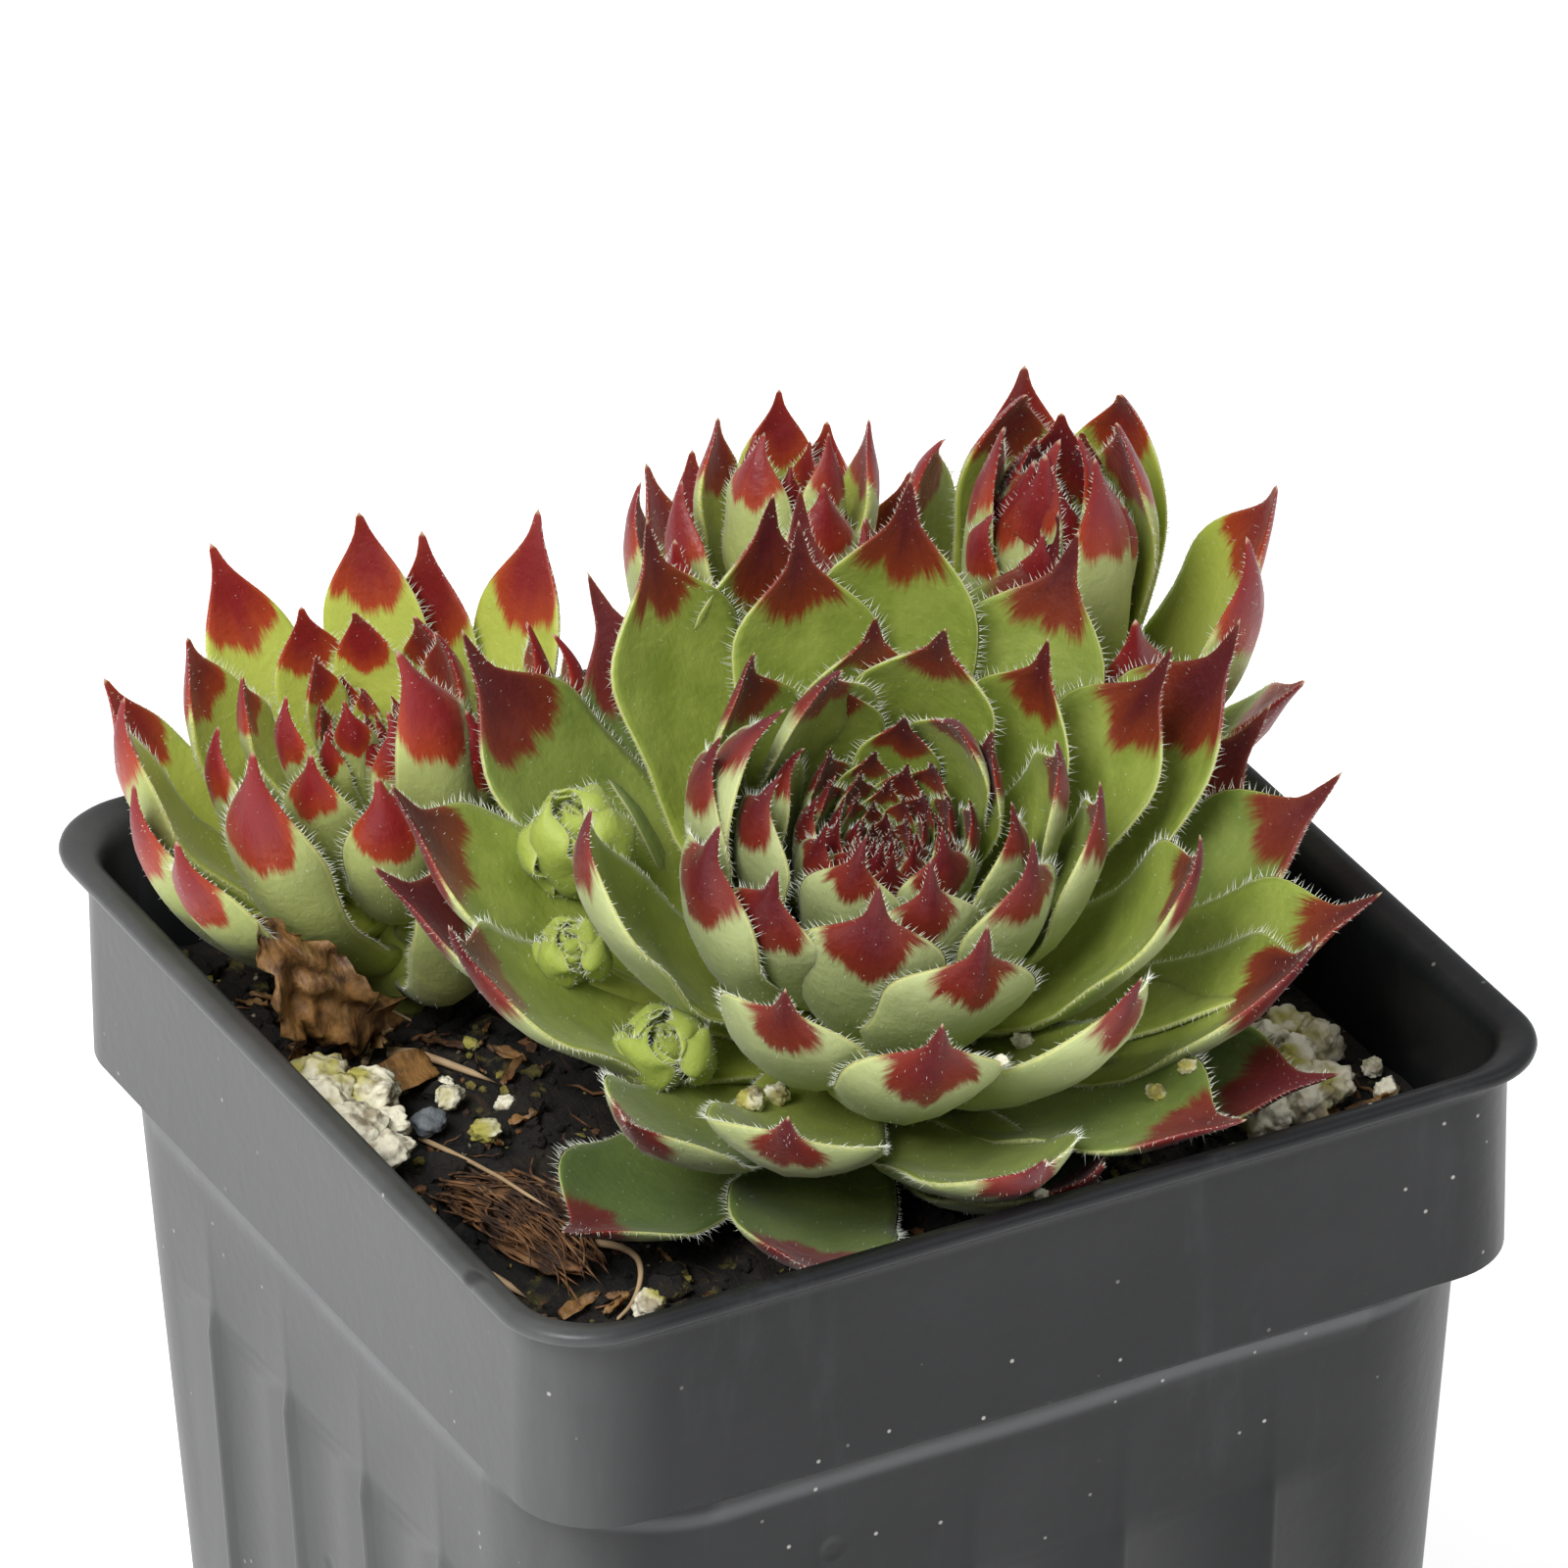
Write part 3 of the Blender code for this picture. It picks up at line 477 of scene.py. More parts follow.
def lip_rings():
    """Over the lip's round edge, down the inner wall and across the floor."""
    lip, inner, radius = LIP_WIDTH / 2, inner_half(0.0), COLLAR_RADIUS - WALL
    rows = [(lip - 0.5, LIP_RADIUS - 0.3, UNDER_LIP - 0.05)]
    for number in range(7):
        angle = -math.pi / 2 + math.pi * number / 6
        rows.append((lip - ROUND_EDGE + ROUND_EDGE * math.cos(angle), LIP_RADIUS - 0.4,
                     (UNDER_LIP + POT_HEIGHT) / 2 + (LIP_THICKNESS / 2) * math.sin(angle)))
    rows += [(lip - 1.1, LIP_RADIUS - 0.9, POT_HEIGHT - 0.06),
             (lip - 1.5, radius + 1.6, POT_HEIGHT - 0.32),
             (inner + 1.0, radius + 1.0, POT_HEIGHT - 0.5),
             (inner + 0.4, radius + 0.4, POT_HEIGHT - 0.95),
             (inner + 0.1, radius + 0.1, POT_HEIGHT - 1.6),
             (inner, radius, POT_HEIGHT - 2.4),
             (inner, radius, STEP + 0.8),
             (inner_half(COLLAR_HEIGHT), BODY_RADIUS - WALL, STEP - 0.9),
             (inner_half(POT_HEIGHT - FLOOR), BODY_RADIUS - WALL, FLOOR)]
    return [pot_ring(*row) for row in rows]


rings = outer_rings() + lip_rings()
for point in (p for ring in rings[RIM_FIRST:RIM_LAST] for p in ring):
    point.z += RIM_WAVE * noise.noise(Vector((point.x / 17, point.y / 17, 3.1)))
pot_body = mesh_object("pot_body", *loft(rings), plastic.material)
print("rings of the whole pot:", len(rings))

# %% [markdown]
# The drain holes are cut with a cylinder primitive and a Boolean modifier: four plain holes, each
# 8 mm across. The corners between wall and floor stay sharp, and the rest is shaded smooth.


# %% Pot: drain holes
def cut_hole(body, x, y):
    """One drain hole through the floor."""
    cutter = add_primitive(bpy.ops.mesh.primitive_cylinder_add, vertices=40,
                           radius=DRAIN_RADIUS * MM, depth=8 * MM, location=(x * MM, y * MM, 0))
    hole = body.modifiers.new("hole", "BOOLEAN")
    hole.operation = "DIFFERENCE"
    hole.object = cutter
    pick(body)
    bpy.ops.object.modifier_apply(modifier=hole.name)
    bpy.data.objects.remove(cutter, do_unlink=True)


for x in (-DRAIN_OFFSET, DRAIN_OFFSET):
    for y in (-DRAIN_OFFSET, DRAIN_OFFSET):
        cut_hole(pot_body, x, y)
pick(pot_body)
bpy.ops.object.shade_smooth_by_angle(angle=math.radians(40))
place_piece(pot_body, "pot_plastic", "pot")

# %% [markdown]
# ## The soil
# Dark peat with small lumps, about 13 mm below the rim, with a hollow round each stem. One rule
# gives its height everywhere, the same rule as the solid's, so that whatever lies on the soil
# can ask for it. Finer noise adds the small lumps.

# %% Soil: height
SOIL_DEPTH = 12.8
SOIL_DIP = 3.0
GAP = 0.3
HEAD_BASE = POT_HEIGHT - 12.0
MAIN_FOOT = (2.3, -3.9)
LEFT_FOOT = (-20.3, 27.5)
MID_FOOT = (15.0, 32.0)
RIGHT_FOOT = (33.5, 21.6)
HOLLOWS = ((MAIN_FOOT, 13.0), (LEFT_FOOT, 8.0), (MID_FOOT, 8.0), (RIGHT_FOOT, 8.0))


def soil_height(x, y):
    """Height of the soil above the ground, before its small lumps."""
    height = POT_HEIGHT - SOIL_DEPTH
    height += 0.7 * noise.noise(Vector((x / 7.0, y / 7.0, 0.3)))
    height += 0.5 * noise.noise(Vector((x / 3.1, y / 3.1, 5.7)))
    for foot, reach in HOLLOWS:
        away = math.hypot(x - foot[0], y - foot[1])
        height -= SOIL_DIP * math.exp(-(away / reach) ** 2)
    return height


def crumbly(x, y):
    """The small lumps of peat on top of that height."""
    p = Vector((x, y, 0))
    lumps = noise.noise(p / 1.6 + Vector((0, 0, 9.2)))
    grit = noise.noise(p / 0.7 + Vector((0, 0, 4.4)))
    return 0.55 * max(-0.4, lumps) + 0.25 * grit


print("soil at the middle of the left side:", round(soil_height(-38, 0), 1), "mm")

# %% [markdown]
# Peat is nearly black where it is damp, with brown fibre, a little moss and a few pale grains.
# Noise of several scales and a cell pattern give that, and a strong bump makes it look open and
# crumbly.

# %% Soil: finish
peat = Finish("soil", Roughness=0.92)
place = peat.place()
lumps = peat.noise(place, 260.0, 6.0, 0.7)
broad = peat.noise(place, 60.0, 3.0)
fibres = peat.noise(peat.stretch(place, (900.0, 160.0, 300.0)), 1.0, 4.0)
mossy = peat.times(peat.ease(peat.noise(place, 150.0, 2.0), 0.56, 0.66),
                   peat.ease(peat.noise(place, 620.0, 3.0), 0.50, 0.62))
grains = peat.times(peat.ease(peat.cells(place, 620.0), 0.16, 0.08),
                    peat.ease(peat.noise(place, 420.0, 0.0), 0.60, 0.64))
base = peat.mix(peat.ease(lumps, 0.40, 0.75), (0.0028, 0.0024, 0.002), (0.020, 0.013, 0.007))
base = peat.cover(base, peat.ease(fibres, 0.60, 0.72), 0.5, (0.060, 0.030, 0.013))
base = peat.cover(base, peat.ease(broad, 0.55, 0.75), 0.3, (0.024, 0.016, 0.008))
base = peat.cover(base, mossy, 0.8, (0.12, 0.10, 0.018))
base = peat.mix(grains, base, (0.38, 0.33, 0.22))
peat.to_shader("Base Color", base)
peat.to_shader("Normal", peat.bump(peat.plus(lumps, peat.times(fibres, 0.4)), 0.0022, 0.9))
print("finish:", peat.material.name)

# %% [markdown]
# A grid primitive gives an even field of points, and each is lifted to the soil's height there.
# The small lumps fade out towards the field's edge, where it meets the wall.

# %% Soil: surface
SOIL_CELLS = 150


def make_soil():
    top_half = inner_half(SOIL_DEPTH) - GAP
    corner = COLLAR_RADIUS - WALL
    soil = add_primitive(bpy.ops.mesh.primitive_grid_add, x_subdivisions=SOIL_CELLS,
                         y_subdivisions=SOIL_CELLS, size=2.0)
    soil.name = soil.data.name = "soil_surface"
    for vertex in soil.data.vertices:
        u, v = vertex.co.x, vertex.co.y
        # The grid's corners are drawn in to follow the pot's rounded ones.
        pull = 1 - (1 - 1 / math.sqrt(2)) * corner / top_half * (u * v) ** 8
        x, y = u * top_half * pull, v * top_half * pull
        edge = min(1.0, 12 * (1 - max(abs(u), abs(v))))
        vertex.co = Vector((x, y, soil_height(x, y) + crumbly(x, y) * edge)) * MM
    return soil


soil_surface = make_soil()
print("points of the soil's surface:", len(soil_surface.data.vertices))

# %% [markdown]
# The field's edge is extruded down the pot's inner wall and closed below, so that the soil is a
# full body and not a sheet. Below the pot's step the corners are rounder, and the points that
# would stand outside them are drawn in.

# %% Soil: sides
STEP_GAP = 0.1                 # clear of the wall beside the pot's step


def wall_in(soil):
    """Extrude the field's edge down the pot's inner wall, and close it below."""
    steps = ((inner_half(COLLAR_HEIGHT) - STEP_GAP, BODY_RADIUS, STEP - 0.9),
             (inner_half(POT_HEIGHT - FLOOR) - GAP, BODY_RADIUS, FLOOR + GAP))
    top_half = inner_half(SOIL_DEPTH) - GAP
    bpy.ops.object.mode_set(mode="EDIT")
    bpy.ops.mesh.select_all(action="SELECT")
    bpy.ops.mesh.region_to_loop()
    bpy.ops.mesh.extrude_region_move()
    bpy.ops.object.mode_set(mode="OBJECT")
    for vertex in [v for v in soil.data.vertices if v.select]:
        vertex.co.z = (STEP + 1.5) * MM
    for half, inset, height in steps:
        bpy.ops.object.mode_set(mode="EDIT")
        bpy.ops.mesh.extrude_region_move()
        bpy.ops.object.mode_set(mode="OBJECT")
        for vertex in [v for v in soil.data.vertices if v.select]:
            x = within(vertex.co.x / MM / top_half, 1) * half
            y = within(vertex.co.y / MM / top_half, 1) * half
            reach = half - inset
            over = Vector((max(0, abs(x) - reach), max(0, abs(y) - reach)))
            if over.x > 0 and over.y > 0:
                over *= inset / over.length
                x = math.copysign(reach + over.x, x)
                y = math.copysign(reach + over.y, y)
            vertex.co = Vector((x, y, height)) * MM
        top_half = half
    bpy.ops.object.mode_set(mode="EDIT")
    bpy.ops.mesh.edge_face_add()
    bpy.ops.mesh.select_all(action="SELECT")
    bpy.ops.mesh.normals_make_consistent(inside=False)
    bpy.ops.object.mode_set(mode="OBJECT")
    bpy.ops.object.shade_smooth()


wall_in(soil_surface)
soil_surface.data.materials.append(peat.material)
place_piece(soil_surface, "soil", "soil")

# %% [markdown]
# ## How a rosette grows
# Each new leaf of a houseleek stands 137.5 degrees round from the last: the golden angle. Old
# leaves are long and lie low; young ones are short and stand up in the bud. So a whole head
# comes from one rule, with a few short profiles over the leaves' ages. A few leaves stand out
# of the spiral, as they do on a real plant, and those are turned or lifted by their numbers.
# The rule is the same as in the plain model, so that each fine leaf lies on its plain one.

# %% Rosette rule
GOLDEN_ANGLE = 137.508


class Rosette:
    """A head of leaves, numbered from the oldest, outside, to the youngest in the bud."""

    def __init__(self, name, foot, lean, core_height, core_radius, leaves, start, hand,
                 ages, rise, tip_rise, length, width, thickness, turns=None, lifts=None,
                 base=HEAD_BASE, shown=None, lost=()):
        self.name, self.foot, self.lean, self.base = name, foot, lean, base
        self.core_height, self.core_radius = core_height, core_radius
        self.leaves, self.start, self.hand, self.ages = leaves, start, hand, ages
        self.rise, self.tip_rise, self.length = rise, tip_rise, length
        self.width, self.thickness = width, thickness
        self.turns, self.lifts = turns or {}, lifts or {}
        self.shown, self.lost = shown or leaves, lost

    def placement(self):
        axis = Vector((*self.lean, 1.0)).normalized()
        spin = Vector((0, 0, 1)).rotation_difference(axis).to_matrix().to_4x4()
        return Matrix.Translation(Vector((*self.foot, self.base))) @ spin


print("degrees from leaf to leaf:", GOLDEN_ANGLE)

# %% [markdown]
# A leaf's centre line is an arc that starts at one rise above the level and ends at another. Its
# length, width, thickness and rises are read from its head's profiles at its own number, and
# all but the thickness vary a little by a seeded draw.

# %% One leaf
ARC_STEPS = 8


def between(value, knots, values):
    """Straight-line reading of a profile at value."""
    for k in range(len(knots) - 1):
        if value <= knots[k + 1]:
            part = (value - knots[k]) / (knots[k + 1] - knots[k])
            return values[k] + (values[k + 1] - values[k]) * max(0.0, part)
    return values[-1]


class Leaf:
    """One leaf's centre line, in its rosette's own frame."""

    def __init__(self, rosette, number, draw):
        r = rosette
        inward = 1 - number / (r.leaves - 1)
        self.number = number
        self.width = between(number, r.ages, r.width) * draw.uniform(0.97, 1.03)
        self.depth = between(number, r.ages, r.thickness)
        self.length = between(number, r.ages, r.length) * draw.uniform(0.985, 1.015)
        lift = r.lifts.get(number, (0, 0))
        self.rise = between(number, r.ages, r.rise) + lift[0] + draw.uniform(-1.2, 1.2)
        self.tip_rise = between(number, r.ages, r.tip_rise) + lift[1] + draw.uniform(-2, 2)
        swing = r.turns.get(number, 0) + draw.uniform(-1.2, 1.2)
        self.bearing = math.radians(r.start + r.hand * GOLDEN_ANGLE * number + swing)
        self.root_radius = r.core_radius * inward ** 0.7
        self.root_height = 1.5 + (r.core_height - 1.5) * (1 - inward ** 1.1)

    def frame(self, u):
        """Point, tangent and upper normal at u along the centre line."""
        start = math.radians(self.rise)
        end = math.radians(self.tip_rise)
        reach = self.root_radius
        height = self.root_height
        for k in range(ARC_STEPS):
            angle = start + (end - start) * u * (k + 0.5) / ARC_STEPS
            reach += math.cos(angle) * self.length * u / ARC_STEPS
            height += math.sin(angle) * self.length * u / ARC_STEPS
        angle = start + (end - start) * max(0.0, u)
        out = Vector((math.cos(self.bearing), math.sin(self.bearing), 0))
        point = out * reach + Vector((0, 0, height))
        tangent = out * math.cos(angle) + Vector((0, 0, math.sin(angle)))
        normal = out * -math.sin(angle) + Vector((0, 0, math.cos(angle)))
        return point, tangent, normal


print("halfway from 10 to 20:", between(0.5, (0, 1), (10, 20)))

# %% [markdown]
# A plain leaf's width and thickness along it are formulas. It stays broad up to its shoulders
# and then runs out in a point, as the solid does.

# %% Outline of a plain leaf
WIDEST = 0.64


def blade_width(u):
    """Half width of a plain leaf at u along it, as a part of its greatest half width."""
    if u < WIDEST:
        return 0.56 + 0.44 * math.sin(max(0.0, u) / WIDEST * math.pi / 2) ** 1.2
    q = (u - WIDEST) / (1 - WIDEST)
    return max(0.0, 1 - q * q) ** 0.75 * (1 - 0.35 * q * q * (3 - 2 * q))


def blade_depth(u):
    """Thickness of a leaf along it, as a part of its greatest thickness."""
    return 0.28 + 0.72 * (1 - max(0.0, u) ** 2.2)


print("a plain leaf is widest at", WIDEST, "and at 0.9 of its length has a width of",
      round(blade_width(0.9), 2))

# %% [markdown]
# Its body is a row of simple sections that ends in the point. A long leaf has five sections, and
# a shorter one fewer, with fewer points in each.

# %% Sections of a plain leaf
CUP = 0.30
SMALL_LEAF = 27.0
BUD_LEAF = 15.0
LEAF_STATIONS = (-0.08, 0.30, 0.64, 0.82, 0.93)
SMALL_STATIONS = (-0.08, 0.35, 0.66, 0.88)
BUD_STATIONS = (-0.10, 0.40, 0.78)
SECTION = ((1.0, 0.0), (0.0, 0.42), (-1.0, 0.0), (-0.5, -0.58), (0.5, -0.58))
SMALL_SECTION = ((1.0, 0.0), (0.0, 0.42), (-1.0, 0.0), (0.0, -0.58))


def leaf_ring(leaf, u, section, swell):
    """Cross section at u: edges drawn up a little, back rounded, swollen all round."""
    point, tangent, normal = leaf.frame(u)
    side = tangent.cross(normal)
    half = leaf.width / 2 * blade_width(u)
    depth = leaf.depth * blade_depth(u) + 2 * swell
    ring = []
    for across, up in section:
        cup = CUP * half * (across * across - 0.35)
        ring.append(point + side * ((half + swell) * across) + normal * (depth * up + cup))
    return ring


def plain_shape(leaf, place, swell=0.0):
    """Points and faces of the plain leaf in the pot's frame, fewer on a small one."""
    section = SMALL_SECTION if leaf.length < SMALL_LEAF else SECTION
    stations = LEAF_STATIONS
    if leaf.length < BUD_LEAF:
        stations = BUD_STATIONS
    elif leaf.length < SMALL_LEAF:
        stations = SMALL_STATIONS
    rings = [[place @ p for p in leaf_ring(leaf, u, section, swell)] for u in stations]
    point, ahead, _ = leaf.frame(1.0)
    return loft(rings, tip=place @ (point + ahead * swell))


print("sections along a plain leaf:", len(LEAF_STATIONS), "and of a small one",
      len(SMALL_STATIONS))

# %% [markdown]
# The plain leaf is only used to find its room. Where it would cross the pot, the soil or a leaf of
# another head, it is bent or turned by as little as will do, as a real leaf is pushed aside by
# its neighbours. Each way to move it is given its cost, and the cheapest that is clear is taken.

# %% Finding each leaf's room
LIFTS = range(-12, 45, 4)      # degrees to try: at the root, at the tip, and to either side
TIP_LIFTS = range(-40, 41, 8)
SWINGS = range(-18, 19, 6)
STEEPEST, MOST_CURLED = 94, 114


def tree_of(node):
    """A node's surface, in millimetres."""
    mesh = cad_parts[node].data
    points = [vertex.co / MM for vertex in mesh.vertices]
    return BVHTree.FromPolygons(points, [tuple(face.vertices) for face in mesh.polygons])


def clear(leaf, place, standing):
    """Whether the leaf, with a gap all round it, crosses nothing that stands near."""
    tree = BVHTree.FromPolygons(*plain_shape(leaf, place, GAP))
    return not any(tree.overlap(other) for other in standing)


def settle(leaf, place, standing):
    """Bend or turn a leaf clear of what stands round it, its tip moved as little as will do."""
    if clear(leaf, place, standing):
        return
    rise, tip_rise, bearing = leaf.rise, leaf.tip_rise, leaf.bearing
    home = leaf.frame(1.0)[0]
    ways = []
    for lift in LIFTS:
        for tip_lift in TIP_LIFTS:
            for swing in SWINGS:
                way = (min(rise + lift, STEEPEST), min(tip_rise + tip_lift, MOST_CURLED),
                       bearing + math.radians(swing))
                leaf.rise, leaf.tip_rise, leaf.bearing = way
                moved = (leaf.frame(1.0)[0] - home).length
                curled_out = max(0.0, way[0] - way[1] - 5)
                effort = abs(lift) + abs(tip_lift) + abs(swing) + 3 * curled_out
                ways.append((moved + 0.05 * effort, way))
    ways.sort()
    for shrink in (1.0, 0.9, 0.9):
        leaf.length *= shrink
        leaf.width *= shrink
        for _, way in ways:
            leaf.rise, leaf.tip_rise, leaf.bearing = way
            if clear(leaf, place, standing):
                return


print("ways to move a leaf:", len(LIFTS) * len(TIP_LIFTS) * len(SWINGS))

# %% [markdown]
# The profiles below give each head's leaves from the oldest to the youngest: how steeply they
# rise at root and tip, and their length, width and thickness in millimetres.

# %% The four heads
HEADS = [
    Rosette("rosette_main", MAIN_FOOT, (-0.04, -0.34), 21.0, 6.0, 72, 275.2, 1,
            ages=(0, 12, 24, 36, 48, 60, 71),
            rise=(20, 18, 22, 35, 38, 55, 80),
            tip_rise=(28, 54, 72, 90, 100, 100, 92),
            length=(34, 39.5, 39, 30, 25, 16, 8),
            width=(13, 13.5, 13.5, 12, 9.5, 5.5, 2.4),
            thickness=(2.2, 2.6, 2.6, 2.3, 1.9, 1.4, 0.9),
            turns={2: 15, 3: -15, 4: -5, 5: -8, 6: -15, 8: -6, 17: -9, 20: 9, 24: -9,
                   25: -9, 27: 6, 28: 6, 29: 14, 31: 6, 32: 12, 33: 15, 34: -9, 40: 6,
                   46: -9, 48: -15},
            lifts={0: (12, 12), 2: (-4, -4), 4: (12, 0), 10: (4, 4), 17: (2, 24),
                   20: (-10, -10), 21: (8, 8), 22: (8, 16), 24: (-6, -26), 27: (0, -12),
                   31: (-4, -8), 32: (-8, -16), 33: (8, 30), 35: (8, 16), 38: (18, 18),
                   40: (-8, -12), 44: (-4, -8), 46: (-4, -12), 48: (8, 16)},
            shown=57, lost=(23,)),
    Rosette("rosette_left", LEFT_FOOT, (-0.19, -0.08), 17.8, 4.5, 30, 129.9, 1,
            ages=(0, 8, 16, 24, 29),
            rise=(31, 32, 30, 52, 80),
            tip_rise=(79, 92, 94, 93, 92),
            length=(29.5, 31, 20, 17, 9),
            width=(9.5, 10.5, 8.5, 6.0, 3.0),
            thickness=(2.6, 2.6, 2.2, 1.8, 1.1),
            turns={5: -6, 6: -22, 7: 9, 8: 16, 10: -6, 13: 9, 15: -12, 21: 12},
            lifts={5: (0, -12), 6: (8, 8), 7: (-4, -20), 9: (22, 17), 10: (0, -16),
                   11: (-18, -11), 15: (4, 16)}),
    Rosette("rosette_middle", MID_FOOT, (0.12, 0.10), 21.5, 3.8, 22, 113.9, -1,
            ages=(0, 8, 16, 21),
            rise=(55, 48, 63, 80),
            tip_rise=(84, 84, 96, 92),
            length=(27.5, 21, 19, 9),
            width=(9.0, 8.5, 6.5, 2.8),
            thickness=(2.4, 2.3, 1.9, 1.0),
            turns={3: 3},
            lifts={4: (4, 8), 8: (-12, -12)}),
    Rosette("rosette_right", RIGHT_FOOT, (-0.10, -0.28), 25.2, 4.5, 28, 152.3, 1,
            ages=(0, 8, 16, 24, 27),
            rise=(38, 53, 78, 68, 84),
            tip_rise=(69, 104, 106, 88, 92),
            length=(33, 34, 29, 14, 8),
            width=(10.0, 10.0, 8.0, 4.5, 2.6),
            thickness=(2.6, 2.6, 2.2, 1.6, 1.0),
            turns={1: 10},
            lifts={5: (0, 15), 8: (16, 7), 9: (-16, -12)}),
]
print("leaves by the rule:", [head.shown for head in HEADS])

# %% [markdown]
# Three young buds grow on short runners between the large head's left leaves. They follow the
# same rule with five leaves each, which curl in over the growing point.

# %% The young buds
BUD_SIZES = {"bud_front": 1.0, "bud_side": 0.75, "bud_back": 1.15}
YOUNG_BUDS = []
for name, foot, base_height, lean in (
        ("bud_front", (-15.0, -9.8), POT_HEIGHT - 3.0, (-0.5, -0.5)),
        ("bud_side", (-19.6, -2.9), POT_HEIGHT + 3.6, (-0.5, -0.4)),
        ("bud_back", (-14.2, 5.0), POT_HEIGHT + 6.0, (-0.4, -0.1))):
    size = BUD_SIZES[name]
    YOUNG_BUDS.append(Rosette(name, foot, lean, 2.5 * size, 1.2 * size, 5, 200.0, 1,
                              ages=(0, 4), rise=(50, 75), tip_rise=(150, 120),
                              length=(8.5 * size, 5.5 * size), width=(6.0 * size, 3.4 * size),
                              thickness=(1.5, 1.2), base=base_height))
print("young buds:", [bud.name for bud in YOUNG_BUDS])

# %% [markdown]
# Leaves need something to stand on. Under each head a stem rises from the soil and widens into a
# leaning core, and a short runner joins each young bud to the large head's core. Both are lofts
# of round rings that end in a point.

# %% Core and runner
STEM_RADIUS = 2.6
STEM_DEPTH = 7.0


def round_point(share, radius, height):
    angle = 2 * math.pi * share
    return Vector((radius * math.cos(angle), radius * math.sin(angle), height))


def ring_about(centre, side, up, radius, around):
    """A round ring of points in the plane of side and up."""
    flat = [round_point(k / around, radius, 0) for k in range(around)]
    return [centre + side * p.x + up * p.y for p in flat]


def core_shape(rosette, around=24):
    """The stem and the leaning core that the leaves stand on."""
    r = rosette
    lean = r.placement()
    foot = Matrix.Translation(Vector((*r.foot, r.base)))
    outline = [(foot, STEM_RADIUS, -STEM_DEPTH), (foot, STEM_RADIUS, -0.8)]
    for step in range(5):
        inward = 1 - step / 5
        height = 1.5 + (r.core_height - 1.5) * (1 - inward ** 1.1)
        outline.append((lean, r.core_radius * inward ** 0.7 + 0.5, height))
    rings = [[place @ round_point(k / around, radius, height) for k in range(around)]
             for place, radius, height in outline]
    return loft(rings, tip=lean @ Vector((0, 0, r.core_height)))


def stolon_shape(mother, bud, around=6):
    """The short runner from the mother's core to the bud's growing point."""
    start = Vector((*mother.foot, mother.base + 3.0))
    end = Vector((*bud.foot, bud.base))
    ahead = (end - start).normalized()
    side = ahead.cross(Vector((0, 0, 1))).normalized()
    up = side.cross(ahead)
    rings = []
    for share, radius in ((0.2, 1.1), (0.85, 1.1), (1.0, 1.5)):
        centre = start.lerp(end, share) - Vector((0, 0, 4 * share * (1 - share)))
        rings.append(ring_about(centre, side, up, radius, around))
    return loft(rings, tip=bud.placement() @ Vector((0, 0, bud.core_height)))


print("a core has", len(core_shape(HEADS[0])[1]), "faces")

# %% [markdown]
# The heads grow one after another, the large one first. Each new head finds its room beside what
# already stands: the pot, the soil and the leaves of the heads before it.

# %% Growing the heads
PLAIN_CORE = 10                # points round a plain core


def grow(rosette, standing):
    """Every leaf of a head, settled into its room."""
    draw = random.Random(rosette.name)
    lean = rosette.placement()
    leaves = []
    for number in range(rosette.shown):
        leaf = Leaf(rosette, number, draw)
        if number in rosette.lost:
            continue
        settle(leaf, lean, standing)
        leaves.append(leaf)
    return leaves


standing = [tree_of("pot"), tree_of("soil")]
GROWN = {}
for head in HEADS:
    leaves = grow(head, standing)
    GROWN[head.name] = leaves
    shapes = [core_shape(head, PLAIN_CORE)]
    shapes += [plain_shape(leaf, head.placement()) for leaf in leaves]
    if head.name == "rosette_main":
        for bud in YOUNG_BUDS:
            GROWN[bud.name] = grow(bud, [])
            shapes.append(stolon_shape(head, bud))
            shapes += [plain_shape(leaf, bud.placement()) for leaf in GROWN[bud.name]]
    standing += [BVHTree.FromPolygons(*shape) for shape in shapes]
    print(head.name, len(leaves), "leaves")

# %% [markdown]
# ## The hearts
# In the middle of each head the youngest leaves stand so close that only their red tips show, in
# a spiral that tightens to the growing point. They go on from the last plain leaf by the same
# golden angle, on top of the core, ever shorter and narrower.


# %% The youngest leaves
def grow_heart(head, count, raised, radius, length, width, rise=(50, 68, 86),
               tip_rise=(99, 96, 92)):
    """More leaves inside a head's youngest, from outer to inner."""
    first = head.start + head.hand * GOLDEN_ANGLE * head.shown
    inner = Rosette(head.name + "_heart", head.foot, head.lean, 4.5, radius, count, first,
                    head.hand, ages=(0, (count - 1) / 2, count - 1), rise=rise,
                    tip_rise=tip_rise, length=length, width=width, thickness=(1.3, 0.9, 0.6))
    draw = random.Random(inner.name)
    for number in range(count):
        leaf = Leaf(inner, number, draw)
        leaf.root_height += raised
        leaf.number += head.shown
        GROWN[head.name].append(leaf)


grow_heart(HEADS[0], 44, 16.0, 2.2, (17.0, 12.8, 7.5), (6.4, 3.8, 1.5))
grow_heart(HEADS[1], 16, 14.6, 1.4, (11.5, 9.0, 6.0), (3.6, 2.4, 1.2))
grow_heart(HEADS[2], 14, 18.4, 1.2, (11.0, 8.5, 6.0), (3.2, 2.2, 1.2))
grow_heart(HEADS[3], 18, 21.0, 2.2, (18.0, 14.5, 10.0), (6.0, 4.4, 2.2))
print("with the hearts:", [len(GROWN[head.name]) for head in HEADS])

# %% [markdown]
# The left head's leaves are slimmer than the plain ones, and those of the young buds too. A young
# bud opens a little, so that its own heart of nine small leaves shows between them.

